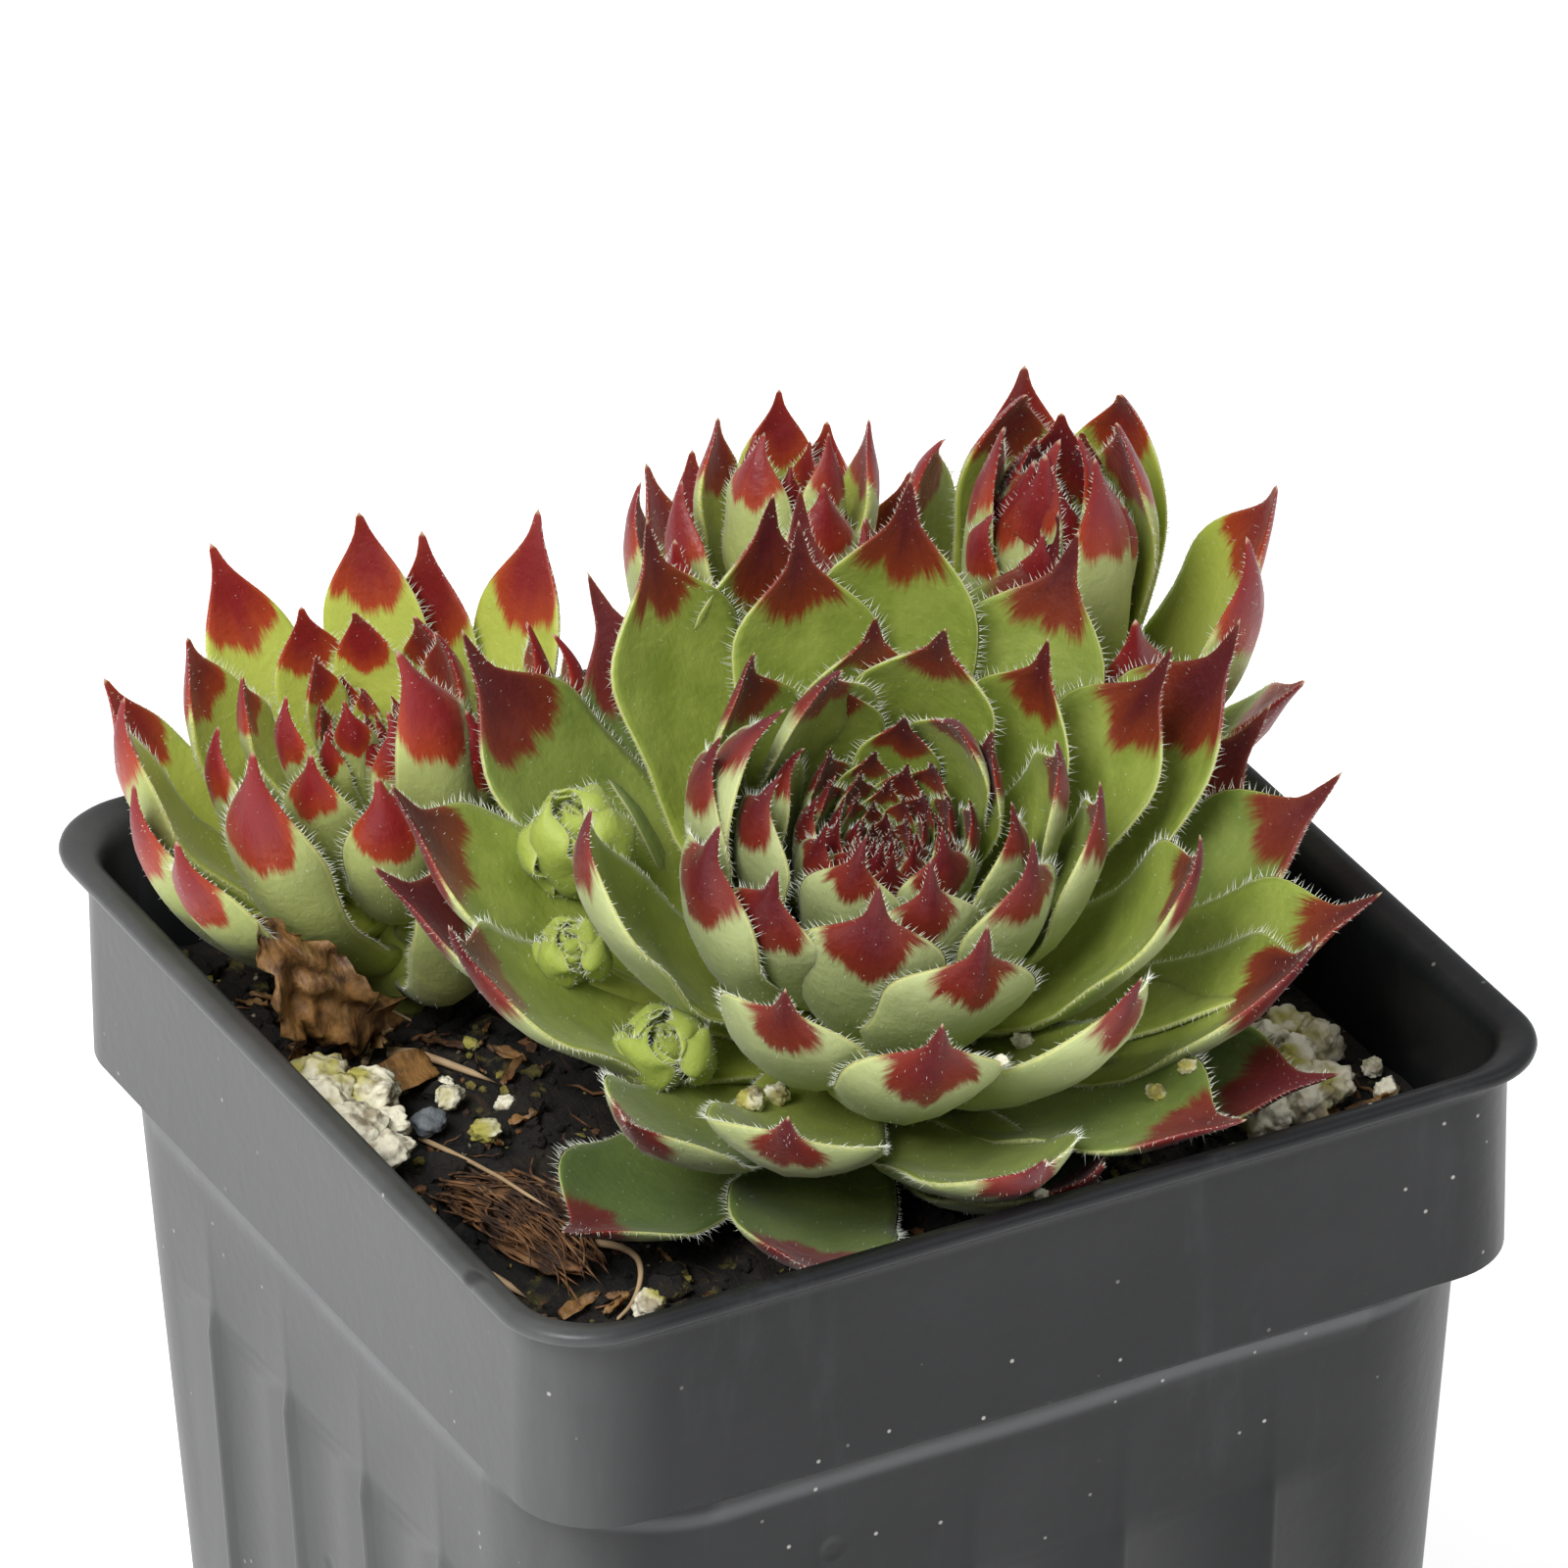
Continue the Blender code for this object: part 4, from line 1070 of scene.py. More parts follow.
# %% Slimmer leaves and open buds
LEFT_SLIM = 0.88
BUD_SLIM = 0.8
OPENING = 22                   # degrees by which a young bud's leaves stand open
for leaf in GROWN["rosette_left"]:
    leaf.width *= LEFT_SLIM
for bud in YOUNG_BUDS:
    size = BUD_SIZES[bud.name]
    for leaf in GROWN[bud.name]:
        leaf.tip_rise -= OPENING
        leaf.width *= BUD_SLIM
    grow_heart(bud, 9, -0.6, 1.5 * size, [size * x for x in (8.0, 6.2, 4.0)],
               [size * x for x in (4.4, 3.2, 2.0)], (38, 55, 75), (128, 122, 104))
print("leaves in all:", sum(len(leaves) for leaves in GROWN.values()))

# %% [markdown]
# ## The fine leaf
# Every leaf is the same organ at another size. So one pattern leaf is modelled: a circle is
# extruded ring by ring along its length and closed at the tip. Each vertex then keeps two
# numbers, how far along the leaf it is and where it sits round the section. A copy for each
# leaf is bent along that leaf's own centre line. Round shoulders, an ogee and a sharp cusp give
# the outline; the inner face is cupped, the back is full, and the tip hooks upwards.

# %% Pattern leaf
AROUND = 18
RINGS = (-0.08, 0.06, 0.18, 0.29, 0.39, 0.48, 0.56, 0.62, 0.67, 0.71, 0.74, 0.77, 0.795, 0.82,
         0.845, 0.865, 0.885, 0.905, 0.925, 0.945, 0.965, 0.985)


def make_pattern_leaf():
    pattern = add_primitive(bpy.ops.mesh.primitive_circle_add, vertices=AROUND, radius=1.0,
                            fill_type="NGON", location=(0, 0, RINGS[0]))
    bpy.ops.object.mode_set(mode="EDIT")
    bpy.ops.mesh.select_all(action="SELECT")
    for low, high in zip(RINGS, RINGS[1:] + (1.0,)):
        bpy.ops.mesh.extrude_region_move(
            TRANSFORM_OT_translate={"value": (0, 0, high - low)})
    bpy.ops.mesh.merge(type="CENTER")
    bpy.ops.object.mode_set(mode="OBJECT")
    bpy.ops.object.transform_apply(location=True, rotation=True, scale=True)
    return pattern


points, PATTERN_FACES = take_shape(make_pattern_leaf())
PATTERN = np.array(points)
print("pattern leaf:", len(PATTERN), "points,", len(PATTERN_FACES), "faces")

# %% [markdown]
# The outline is written as a function of the place along the leaf. Up to the shoulders it widens
# slowly; then they turn in, its sides become hollow, and the last part is a thin cusp. The large
# head has round shoulders and a short cusp, and the smaller heads have longer points.

# %% Leaf outline and bending
# Where the shoulders turn in, where the cusp starts, how late the turn is, and the cusp's width
LARGE_OUTLINE = (0.70, 0.93, 1.6, 0.13)
SMALL_OUTLINE = (0.62, 0.98, 1.8, 0.10)
HOOK_START = 0.90
DRAWN_TIP = 0.075              # the cusp's reach past the plain tip, as a part of the length


def fine_width(u, outline):
    """Half width of a fine leaf, as a part of its greatest half width."""
    shoulder, cusp_start, late, cusp = outline
    low = 0.56 + 0.44 * np.sin(np.clip(u / shoulder, 0, 1) * math.pi / 2) ** 1.2
    turned = np.clip((u - shoulder) / (cusp_start - shoulder), 0, 1) ** late
    point = cusp * np.clip((1 - u) / (1 - cusp_start), 0, 1)
    high = point + (1 - point) * (0.5 + 0.5 * np.cos(math.pi * turned))
    return np.where(u < shoulder, low, high)


for name, outline in (("large", LARGE_OUTLINE), ("small", SMALL_OUTLINE)):
    print(name, "outline at 0.5, 0.8 and 0.95:",
          [round(float(fine_width(u, outline)), 2) for u in (0.5, 0.8, 0.95)])

# %% [markdown]
# To bend the pattern, each of its points asks for the centre line at its own place along the
# leaf, and for the three directions there. The centre line is the plain leaf's arc, drawn out a
# little at the tip. Each leaf also has habits of its own, from a seeded draw.

# %% Bending a leaf
BODY_FACE, BODY_BACK = 0.42, 0.72  # how full the face and the back are, in thicknesses
KEEL = 0.12


def fine_depth(u):
    """Thickness along the leaf, with the last part drawn out to nothing."""
    u = np.clip(np.asarray(u, float), 0, 1)
    return (0.28 + 0.72 * (1 - u ** 2.2)) * np.clip((1.02 - u) / 0.20, 0, 1) ** 0.7


def sweep(leaf, lean, u):
    """Centre points and the three directions at each place along a leaf, in the pot's frame."""
    u = u + DRAWN_TIP * np.clip((u - 0.7) / 0.3, 0, 1) ** 1.4
    start, end = math.radians(leaf.rise), math.radians(leaf.tip_rise)
    bend = end - start if abs(end - start) > 1e-5 else 1e-5
    angle = start + bend * u
    reach = leaf.root_radius + leaf.length * (np.sin(angle) - math.sin(start)) / bend
    height = leaf.root_height - leaf.length * (np.cos(angle) - math.cos(start)) / bend
    angle = start + bend * np.maximum(u, 0)
    out = np.array([math.cos(leaf.bearing), math.sin(leaf.bearing), 0.0])
    up = np.array([0.0, 0.0, 1.0])
    centre = reach[:, None] * out + height[:, None] * up
    tangent = np.cos(angle)[:, None] * out + np.sin(angle)[:, None] * up
    normal = -np.sin(angle)[:, None] * out + np.cos(angle)[:, None] * up
    side = np.cross(tangent, normal)
    spin = np.array(lean.to_3x3())
    shift = np.array(lean.translation)
    return centre @ spin.T + shift, tangent @ spin.T, normal @ spin.T, side @ spin.T


class Habit:
    """How one leaf differs from its neighbours: its hook, its lean to one side, its waves."""

    def __init__(self, leaf, seed, crisp, outline):
        draw = random.Random(seed)
        self.crisp, self.outline = crisp, outline
        self.hook = draw.uniform(-0.3, 1.1) * min(1.0, leaf.length / 26)
        self.sideways = draw.uniform(-0.7, 0.7) * min(1.0, leaf.length / 30)
        self.twist = math.radians(draw.uniform(-7, 7))
        self.wave = draw.uniform(0, 100)
        self.dice = draw.random()


print("thickness at the root and at 0.9:", [round(float(fine_depth(u)), 2) for u in (0, 0.9)])

# %% [markdown]
# The skin of a leaf is then a matter of adding up: half a width to either side, a thickness up or
# down, the cup of the face, the keel of the back, a hook and a drift near the tip, a slight twist
# and a crisped margin, most of all on the young buds.


# %% Skin of a leaf
def leaf_surface(leaf, habit, lean, u, across, up):
    """Points of a leaf's skin: across from edge to edge, up from its back to its face."""
    centre, tangent, normal, side = sweep(leaf, lean, u)
    half = leaf.width / 2 * fine_width(u, habit.outline)
    depth = leaf.depth * fine_depth(u)
    cup = CUP * half * (across ** 2 - 0.35)
    body = np.where(up > 0, BODY_FACE * up, BODY_BACK * up)
    ridge = np.where(up < 0, -KEEL * np.clip(1 - np.abs(across) / 0.5, 0, 1), 0)
    keel = ridge * np.clip(u, 0, 1)
    past = np.clip((u - HOOK_START) / (1 - HOOK_START), 0, 1)
    hook = habit.hook * past ** 1.6
    drift = habit.sideways * np.clip((u - 0.6) / 0.4, 0, 1) ** 2
    ripple = 1 + habit.crisp * np.sin(u * 19 + habit.wave) * np.sign(across)
    roll = habit.twist * np.clip(u, 0, 1)
    x = half * across * ripple
    y = depth * (body + keel) + cup
    y += half * across ** 2 * habit.crisp * 4 * np.sin(u * 14 + habit.wave * 2 + across)
    x, y = x * np.cos(roll) - y * np.sin(roll) + drift, x * np.sin(roll) + y * np.cos(roll) + hook
    return centre + side * x[:, None] + normal * y[:, None]


leaf = GROWN["rosette_main"][0]
tip = leaf_surface(leaf, Habit(leaf, "trial", 0.0, LARGE_OUTLINE), HEADS[0].placement(),
                   np.ones(1), np.zeros(1), np.zeros(1))
print("the oldest leaf's tip is at", [round(float(c), 1) for c in tip[0]], "mm")

# %% [markdown]
# ## The leaf finish
# The colour follows the leaf, so it reads an attribute that travels with each vertex: the place
# along the leaf, the place across it, face or back, and a random number. A second attribute
# holds the length of the red tip, how yellow the leaf is, how old, and whether it is a young
# bud's. The red zone ends in a ragged edge, with streaks that run along the leaf and a point in
# the middle.

# %% Leaf finish: where the tip is red
leafy = Finish("leaf_skin", Subsurface_Weight=0.3, Subsurface_Scale=0.002,
               Specular_IOR_Level=0.35, Sheen_Weight=0.10, Sheen_Roughness=0.35)
leafy.shader.inputs["Subsurface Radius"].default_value = (0.8, 1.0, 0.3)
along, across_half, face, dice = leafy.attribute("leaf_place")
red_length, yellow, age, young = leafy.attribute("leaf_kind")
across = leafy.math("ABSOLUTE", leafy.scaled(across_half, 2.0, -1.0))
shifted = leafy.times(dice, 40.0)
streak_place = leafy.combine(leafy.times(across_half, 42.0), leafy.times(along, 14.0), shifted)
streaks = leafy.noise(streak_place, 1.0, 4.0, 0.65)
wander_place = leafy.combine(leafy.times(across_half, 4.0), shifted, leafy.times(dice, 7.0))
wander = leafy.noise(wander_place, 1.0, 1.0)
middle = leafy.math("POWER", leafy.math("SUBTRACT", 1.0, across, clamp=True), 0.6)
border = leafy.minus(1.0, leafy.times(red_length, leafy.scaled(middle, 0.42, 0.66)))
for ragged, width in ((streaks, 0.065), (wander, 0.12)):
    border = leafy.plus(border, leafy.times(leafy.minus(ragged, 0.5), width))
past = leafy.minus(along, border)
red_here = leafy.times(leafy.ease(past, -0.012, 0.026), leafy.ease(red_length, 0.01, 0.04))
deep = leafy.ease(past, 0.0, 0.13)
print("nodes for the red border:", len(leafy.tree.nodes))

# %% [markdown]
# The greens come next. The face is a clear leaf green and the back is paler, with a waxy bloom.
# The smaller heads are more golden, the oldest leaves duller, and the foot of every leaf is
# yellow-green where little light reaches it. Broad blotches keep each from being flat.

# %% Leaf finish: greens
place = leafy.place()
blotch = leafy.noise(place, 210.0, 4.0, 0.6)
patchy = leafy.ease(blotch, 0.3, 0.7)
green_face = leafy.mix(patchy, (0.162, 0.212, 0.028), (0.245, 0.298, 0.052))
green_back = leafy.mix(patchy, (0.285, 0.340, 0.110), (0.375, 0.425, 0.165))
golden = leafy.mix(face, (0.37, 0.42, 0.125), (0.43, 0.475, 0.080))
old = leafy.mix(face, (0.16, 0.21, 0.075), (0.062, 0.105, 0.038))
green = leafy.mix(yellow, leafy.mix(face, green_back, green_face), golden)
green = leafy.cover(green, age, 0.8, old)
green = leafy.cover(green, leafy.ease(along, 0.62, 0.12), 0.65, (0.36, 0.41, 0.055))
waxy = leafy.times(leafy.minus(1.0, face), leafy.scaled(yellow, -0.30, 0.32))
bloom = leafy.times(leafy.ease(along, 0.45, 0.8), waxy)
green = leafy.mix(bloom, green, (0.50, 0.54, 0.32))
green = leafy.cover(green, young, 0.7, (0.32, 0.40, 0.055))
print("nodes with the greens:", len(leafy.tree.nodes))

# %% [markdown]
# The red deepens from its border to the tip. It is a little brighter on the backs, orange-red on
# the smaller heads, and dull on the oldest leaves. Over both colours lie a thin pale margin, a
# horny point and specks of dust.

# %% Leaf finish: reds, margin and dust
red_face = leafy.mix(deep, (0.17, 0.024, 0.006), (0.072, 0.0050, 0.0075))
red_back = leafy.mix(deep, (0.18, 0.018, 0.008), (0.096, 0.0048, 0.0085))
fresh = leafy.mix(deep, (0.40, 0.050, 0.012), (0.25, 0.012, 0.013))
red = leafy.cover(leafy.mix(face, red_back, red_face), yellow, 0.9, fresh)
red = leafy.cover(red, age, 0.7, (0.14, 0.018, 0.022))
red = leafy.cover(red, leafy.ease(blotch, 0.5, 0.8), 0.18, (0.24, 0.06, 0.05))
margin = leafy.times(leafy.ease(across, 0.955, 0.995), leafy.scaled(red_here, -0.42, 0.60))
rim = leafy.mix(red_here, (0.58, 0.58, 0.24), (0.34, 0.045, 0.045))
skin = leafy.mix(margin, leafy.mix(red_here, green, red), rim)
skin = leafy.cover(skin, leafy.ease(along, 0.985, 0.998), 0.7, (0.55, 0.36, 0.28))
dust = leafy.times(leafy.ease(leafy.cells(place, 1300.0), 0.09, 0.04),
                   leafy.ease(leafy.noise(place, 330.0, 0.0), 0.62, 0.68))
skin = leafy.cover(skin, dust, 0.7, (0.75, 0.74, 0.68))
leafy.to_shader("Base Color", skin)
leafy.to_shader("Roughness", leafy.scaled(blotch, 0.22, leafy.scaled(red_here, -0.10, 0.42)))
soft = leafy.bump(blotch, 0.0010, 0.25)
lines = leafy.plus(leafy.noise(place, 1500.0, 2.0), leafy.times(streaks, 0.5))
leafy.to_shader("Normal", leafy.bump(lines, 0.00022, 0.35, soft))
print("finish:", leafy.material.name)

# %% [markdown]
# Now the pattern leaf is copied for every leaf, bent, and all of a head's leaves are joined to
# its core as one piece. A small class gathers the points and faces leaf by leaf, and the two
# attributes with them.

# %% Gathering a head's leaves
BARE_PLACE = (0.1, 0.5, 0.0, 0.5)  # the cores and runners are coloured as the foot of a back


class Skin:
    """Points, faces and the two attributes of one head, gathered leaf by leaf."""

    def __init__(self):
        self.points, self.faces, self.places, self.kinds = [], [], [], []
        self.count = 0

    def add(self, points, faces, places, kinds):
        self.points.append(points)
        self.faces += [tuple(k + self.count for k in face) for face in faces]
        self.places.append(places)
        self.kinds.append(kinds)
        self.count += len(points)

    def add_leaf(self, leaf, habit, lean, kind):
        across, up, u = PATTERN[:, 0], PATTERN[:, 1], PATTERN[:, 2]
        points = leaf_surface(leaf, habit, lean, u, across, up)
        face = np.clip(up * 3 + 0.5, 0, 1)
        places = np.stack([np.clip(u, 0, 1), across / 2 + 0.5, face,
                           np.full(len(u), habit.dice)], 1)
        self.add(points, PATTERN_FACES, places, np.tile(kind, (len(u), 1)))

    def add_plain(self, shape, kind):
        points, faces = shape
        self.add(np.array([tuple(p) for p in points]), faces,
                 np.tile(BARE_PLACE, (len(points), 1)), np.tile(kind, (len(points), 1)))

    def finish(self, name, material):
        thing = mesh_object(name, np.concatenate(self.points), self.faces, material)
        for label, rows in (("leaf_place", self.places), ("leaf_kind", self.kinds)):
            layer = thing.data.color_attributes.new(label, "FLOAT_COLOR", "POINT")
            layer.data.foreach_set("color", np.concatenate(rows).astype(np.float32).ravel())
        return thing


print("points in one leaf:", len(PATTERN))

# %% [markdown]
# Each head has its own length of red and its own yellow. Both vary a little from leaf to leaf,
# the youngest leaves have the longest red, and only the large head has old, dull leaves.

# %% Kinds of leaf
RED = {"rosette_main": 0.212, "rosette_left": 0.250, "rosette_middle": 0.250,
       "rosette_right": 0.235}
YELLOW = {"rosette_main": 0.0, "rosette_left": 0.75, "rosette_middle": 0.65,
          "rosette_right": 0.60}
CRISP_HEAD, CRISP_BUD = 0.02, 0.07
OLD_LEAVES = 15
CORE_KIND = (0.0, 0.4, 0.0, 0.0)
RUNNER_KIND = (0.0, 1.0, 0.0, 0.0)
BUD_KIND = (0.0, 1.0, 0.0, 1.0)


def habit_of(head, leaf):
    crisp = CRISP_HEAD if head.name in RED else CRISP_BUD
    outline = SMALL_OUTLINE if head in HEADS[1:] else LARGE_OUTLINE
    return Habit(leaf, f"{head.name} habit {leaf.number}", crisp, outline)


def leaf_kind(head, leaf):
    """Length of the red tip, how yellow, how old, and whether it is a young bud's leaf."""
    draw = random.Random(f"{head.name} kind {leaf.number}")
    if head.name not in RED:
        return BUD_KIND
    share = leaf.number / head.leaves
    red = RED[head.name] * draw.uniform(0.86, 1.14) * (1 + 0.25 * max(0.0, share - 0.45))
    old = 0.0
    if head.name == "rosette_main":
        old = max(0.0, 1 - leaf.number / OLD_LEAVES) ** 0.7
    yellow = YELLOW[head.name] * draw.uniform(0.85, 1.1)
    return (red, min(1.0, yellow), old, 0.0)


print("red on the oldest leaf:", round(leaf_kind(HEADS[0], GROWN["rosette_main"][0])[0], 3))

# %% [markdown]
# The heads are built, and measured at the same time: the tip of each plain leaf is looked up on
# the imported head's surface, which shows that the rule here gives the same leaves.


# %% Build the heads
def build_head(head):
    skin = Skin()
    skin.add_plain(core_shape(head), CORE_KIND)
    for leaf in GROWN[head.name]:
        skin.add_leaf(leaf, habit_of(head, leaf), head.placement(), leaf_kind(head, leaf))
    if head.name == "rosette_main":
        for bud in YOUNG_BUDS:
            skin.add_plain(stolon_shape(head, bud), RUNNER_KIND)
            for leaf in GROWN[bud.name]:
                skin.add_leaf(leaf, habit_of(bud, leaf), bud.placement(), leaf_kind(bud, leaf))
    thing = skin.finish(head.name + "_leaves", leafy.material)
    place_piece(thing, "leaf_green", head.name)


def tip_misses(head):
    """How far each plain leaf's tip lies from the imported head's surface, in millimetres."""
    tree, lean = tree_of(head.name), head.placement()
    return sorted(tree.find_nearest(lean @ leaf.frame(1.0)[0])[3]
                  for leaf in GROWN[head.name] if leaf.number < head.shown)


for head in HEADS:
    misses = tip_misses(head)
    half = misses[len(misses) // 2]
    print(f"tips off the packed surface: half {half:.3f}, all {misses[-1]:.2f} mm")
    build_head(head)

# %% [markdown]
# ## The hairs
# The margins carry a fringe of stiff pale hairs, longest at the shoulders, and back and face have
# a short down. Some sixty thousand are needed, so each is the least that still reads as a hair:
# a cone with three sides, added once as a primitive and copied.

# %% Hair finish and pattern
down = Finish("leaf_hair", Roughness=0.35, Subsurface_Weight=0.2, Subsurface_Scale=0.001)
tone = down.noise(down.place(), 700.0, 1.0)
down.to_shader("Base Color", down.mix(tone, (0.62, 0.64, 0.46), (0.86, 0.86, 0.78)))

hair = add_primitive(bpy.ops.mesh.primitive_cone_add, vertices=3, radius1=1.0, radius2=0.0,
                     depth=1.0, end_fill_type="NGON", location=(0, 0, 0.5))
bpy.ops.object.transform_apply(location=True, rotation=True, scale=True)
HAIR, HAIR_FACES = (np.array(rows) for rows in take_shape(hair))
print("pattern hair:", len(HAIR), "points,", len(HAIR_FACES), "faces")

# %% [markdown]
# A hair is a copy of the cone, scaled to its length and radius and turned to its own direction.
# All copies of a head are computed at once, because a loop over tens of thousands is slow.

# %% Hairs: copying the cone
ASKEW = np.array([0.31, 0.47, 0.83])


def unit(rows):
    return rows / np.linalg.norm(rows, axis=1)[:, None]


def hair_cones(roots, ways, lengths, radii):
    """Points and faces of many hairs, each a copy of the pattern cone."""
    ways = unit(ways)
    aside = unit(np.cross(ways, ASKEW))
    other = np.cross(ways, aside)
    points = (roots[:, None, :] + HAIR[None, :, 0:1] * (aside * radii[:, None])[:, None, :]
              + HAIR[None, :, 1:2] * (other * radii[:, None])[:, None, :]
              + HAIR[None, :, 2:3] * (ways * lengths[:, None])[:, None, :])
    count = len(HAIR)
    faces = HAIR_FACES[None] + (np.arange(len(roots)) * count)[:, None, None]
    return points.reshape(-1, 3), faces.reshape(-1, HAIR_FACES.shape[1]).tolist()


print("two hairs have", len(hair_cones(np.zeros((2, 3)), np.eye(3)[:2], np.ones(2),
                                       np.ones(2))[1]), "faces")

# %% [markdown]
# The fringe stands on both margins. It points outwards at the sides and more and more forwards
# near the tip, and it is longest on the shoulders. The down is scattered over back and face.

# %% Hairs: placing
HAIR_SPACING = 0.24
HAIR_RADIUS = 0.034
DOWN_RADIUS = 0.022


def fringe(leaf, habit, lean, seed, thick=1.0):
    """Roots, directions and lengths of the hairs along both margins of a leaf."""
    draw = np.random.default_rng(seed)
    count = max(8, int(leaf.length * 0.86 / HAIR_SPACING))
    rows = []
    for sign in (-1.0, 1.0):
        u = np.clip(0.10 + 0.875 * (np.arange(count) + draw.uniform(0, 1, count)) / count, 0, 0.99)
        edge = np.full(count, sign)
        roots = leaf_surface(leaf, habit, lean, u, edge, np.zeros(count))
        _, tangent, normal, side = sweep(leaf, lean, u)
        slope = np.clip((u - 0.7) / 0.2, 0, 1)[:, None]
        spread = draw.normal(0, 0.25, (count, 3))
        ways = (side * sign * (1 - 0.45 * slope) + tangent * (0.35 + 0.55 * slope)
                + normal * draw.uniform(-0.1, 0.5, count)[:, None] + spread)
        long = 0.42 + 0.62 * np.exp(-((u - 0.76) / 0.13) ** 2)
        lengths = long * draw.uniform(0.6, 1.2, count) * min(1.0, 0.45 + leaf.length / 45) * thick
        rows.append((roots, ways, lengths, np.full(count, HAIR_RADIUS)))
    return rows


def back_down(leaf, habit, lean, seed, count):
    """Short hairs scattered over a leaf's back and face."""
    draw = np.random.default_rng(seed)
    u = draw.uniform(0.15, 0.97, count)
    angle = draw.uniform(0, 2 * math.pi, count)
    across, up = np.cos(angle), np.sin(angle)
    roots = leaf_surface(leaf, habit, lean, u, across, up)
    _, tangent, normal, side = sweep(leaf, lean, u)
    ways = (normal * up[:, None] + side * across[:, None] * 0.5 + tangent * 0.35
            + draw.normal(0, 0.2, (count, 3)))
    lengths = draw.uniform(0.16, 0.34, count)
    return [(roots, ways, lengths, np.full(count, DOWN_RADIUS))]


print("down on one leaf:", len(back_down(leaf, habit_of(HEADS[0], leaf), HEADS[0].placement(),
                                        1, 12)[0][0]))

# %% [markdown]
# A head's hairs are one piece, which rides beside its leaves. The large head's piece also carries
# the hairs of the young buds, which are longer and denser for their size.

# %% Build the hairs
HEAD_DOWN, BUD_DOWN = 5, 14    # hairs of down for a millimetre of leaf
BUD_FRINGE = 1.5               # how much longer a bud's fringe is


def build_hairs(head, extra=()):
    rows = []
    for owner in (head, *extra):
        lean = owner.placement()
        longer, dense = (1.0, HEAD_DOWN) if owner is head else (BUD_FRINGE, BUD_DOWN)
        for leaf in GROWN[owner.name]:
            habit = habit_of(owner, leaf)
            seed = 1000 + 97 * leaf.number + len(owner.name)
            rows += fringe(leaf, habit, lean, seed, longer)
            rows += back_down(leaf, habit, lean, seed + 1, int(leaf.length * dense))
    roots, ways, lengths, radii = (np.concatenate([row[k] for row in rows]) for k in range(4))
    points, faces = hair_cones(roots, ways, lengths, radii)
    thing = mesh_object(head.name + "_hairs", points, faces, down.material, smooth=False)
    place_piece(thing, "leaf_green")


build_hairs(HEADS[0], YOUNG_BUDS)
for head in HEADS[1:]:
    build_hairs(head)

# %% [markdown]
# ## Perlite and the grey stone
# Perlite is popped volcanic glass: white, lumpy and full of pores. Here it has been in the pot
# for a season, so algae have turned parts of it yellow-green. Its pores are a cell pattern in the
# bump, because they are too small to model.

# %% Perlite finishes
froth = Finish("perlite", Roughness=0.85, Subsurface_Weight=0.08, Subsurface_Scale=0.001)
place = froth.place()
algae = froth.ease(froth.noise(place, 170.0, 3.0), 0.46, 0.62)
stained = froth.ease(froth.noise(place, 480.0), 0.52, 0.66)
base = froth.mix(algae, (0.74, 0.70, 0.55), (0.36, 0.33, 0.07))
froth.to_shader("Base Color", froth.cover(base, stained, 0.7, (0.16, 0.11, 0.045)))
froth.to_shader("Normal", froth.bump(froth.cells(place, 1100.0), 0.0006, 0.5))

slate = Finish("grey_stone", Roughness=0.65)
place = slate.place()
base = slate.mix(slate.noise(place, 500.0, 4.0), (0.05, 0.06, 0.07), (0.20, 0.22, 0.24))
slate.to_shader("Base Color", base)
slate.to_shader("Normal", slate.bump(slate.noise(place, 700.0, 3.0), 0.0008, 0.6))
print("finishes:", froth.material.name, slate.material.name)

# %% [markdown]
# Each crumb is an ico sphere, pushed in and out by noise of three scales: one for its whole form,
# and two whose creases part it into lumps. Fine spheres serve the crumbs that are seen close by,
# and coarse ones the thousands that are smaller.


# %% Crumbs
def pattern_ball(fineness):
    """Points and faces of an ico sphere, modelled once for all crumbs of that fineness."""
    points, faces = take_shape(add_primitive(bpy.ops.mesh.primitive_ico_sphere_add,
                                             subdivisions=fineness, radius=1.0))
    return [p.normalized() for p in points], faces


BALLS = {fineness: pattern_ball(fineness) for fineness in (1, 2, 4)}
PERLITE_ROUGH, STONE_ROUGH = 0.38, 0.15


def crumb_shape(place, size, swivel, height, fineness=4, rough=PERLITE_ROUGH):
    """Points and faces of one crumb, in millimetres, with bulges and creases between them."""
    spin = Matrix.Rotation(math.radians(swivel), 3, "Z")
    seed = Vector((place[0], place[1], 0))
    points = []
    for p in BALLS[fineness][0]:
        swell = 0.9 + 0.28 * noise.noise(p * 1.4 + seed)
        swell += rough * abs(noise.noise(p * 2.3 + seed * 2))
        swell += rough * 0.4 * abs(noise.noise(p * 5.2 + seed))
        p = spin @ Vector((p.x * size[0], p.y * size[1], p.z * size[2])) * (swell / 2)
        points.append(p + Vector((*place, height)))
    return points, BALLS[fineness][1]


def joined(shapes):
    """The points and faces of many shapes as one."""
    points, faces = [], []
    for more, more_faces in shapes:
        faces += [tuple(k + len(points) for k in face) for face in more_faces]
        points += [tuple(p) for p in more]
    return points, faces


def join_shapes(name, shapes, material, smooth=True):
    return mesh_object(name, *joined(shapes), material, smooth)


print("faces of the balls:", {fineness: len(ball[1]) for fineness, ball in BALLS.items()})

# %% [markdown]
# Eight crumbs lie loose on the soil, and two clumps are made of six and eight crumbs that touch.
# Each is set down at the height where its plain node lies.

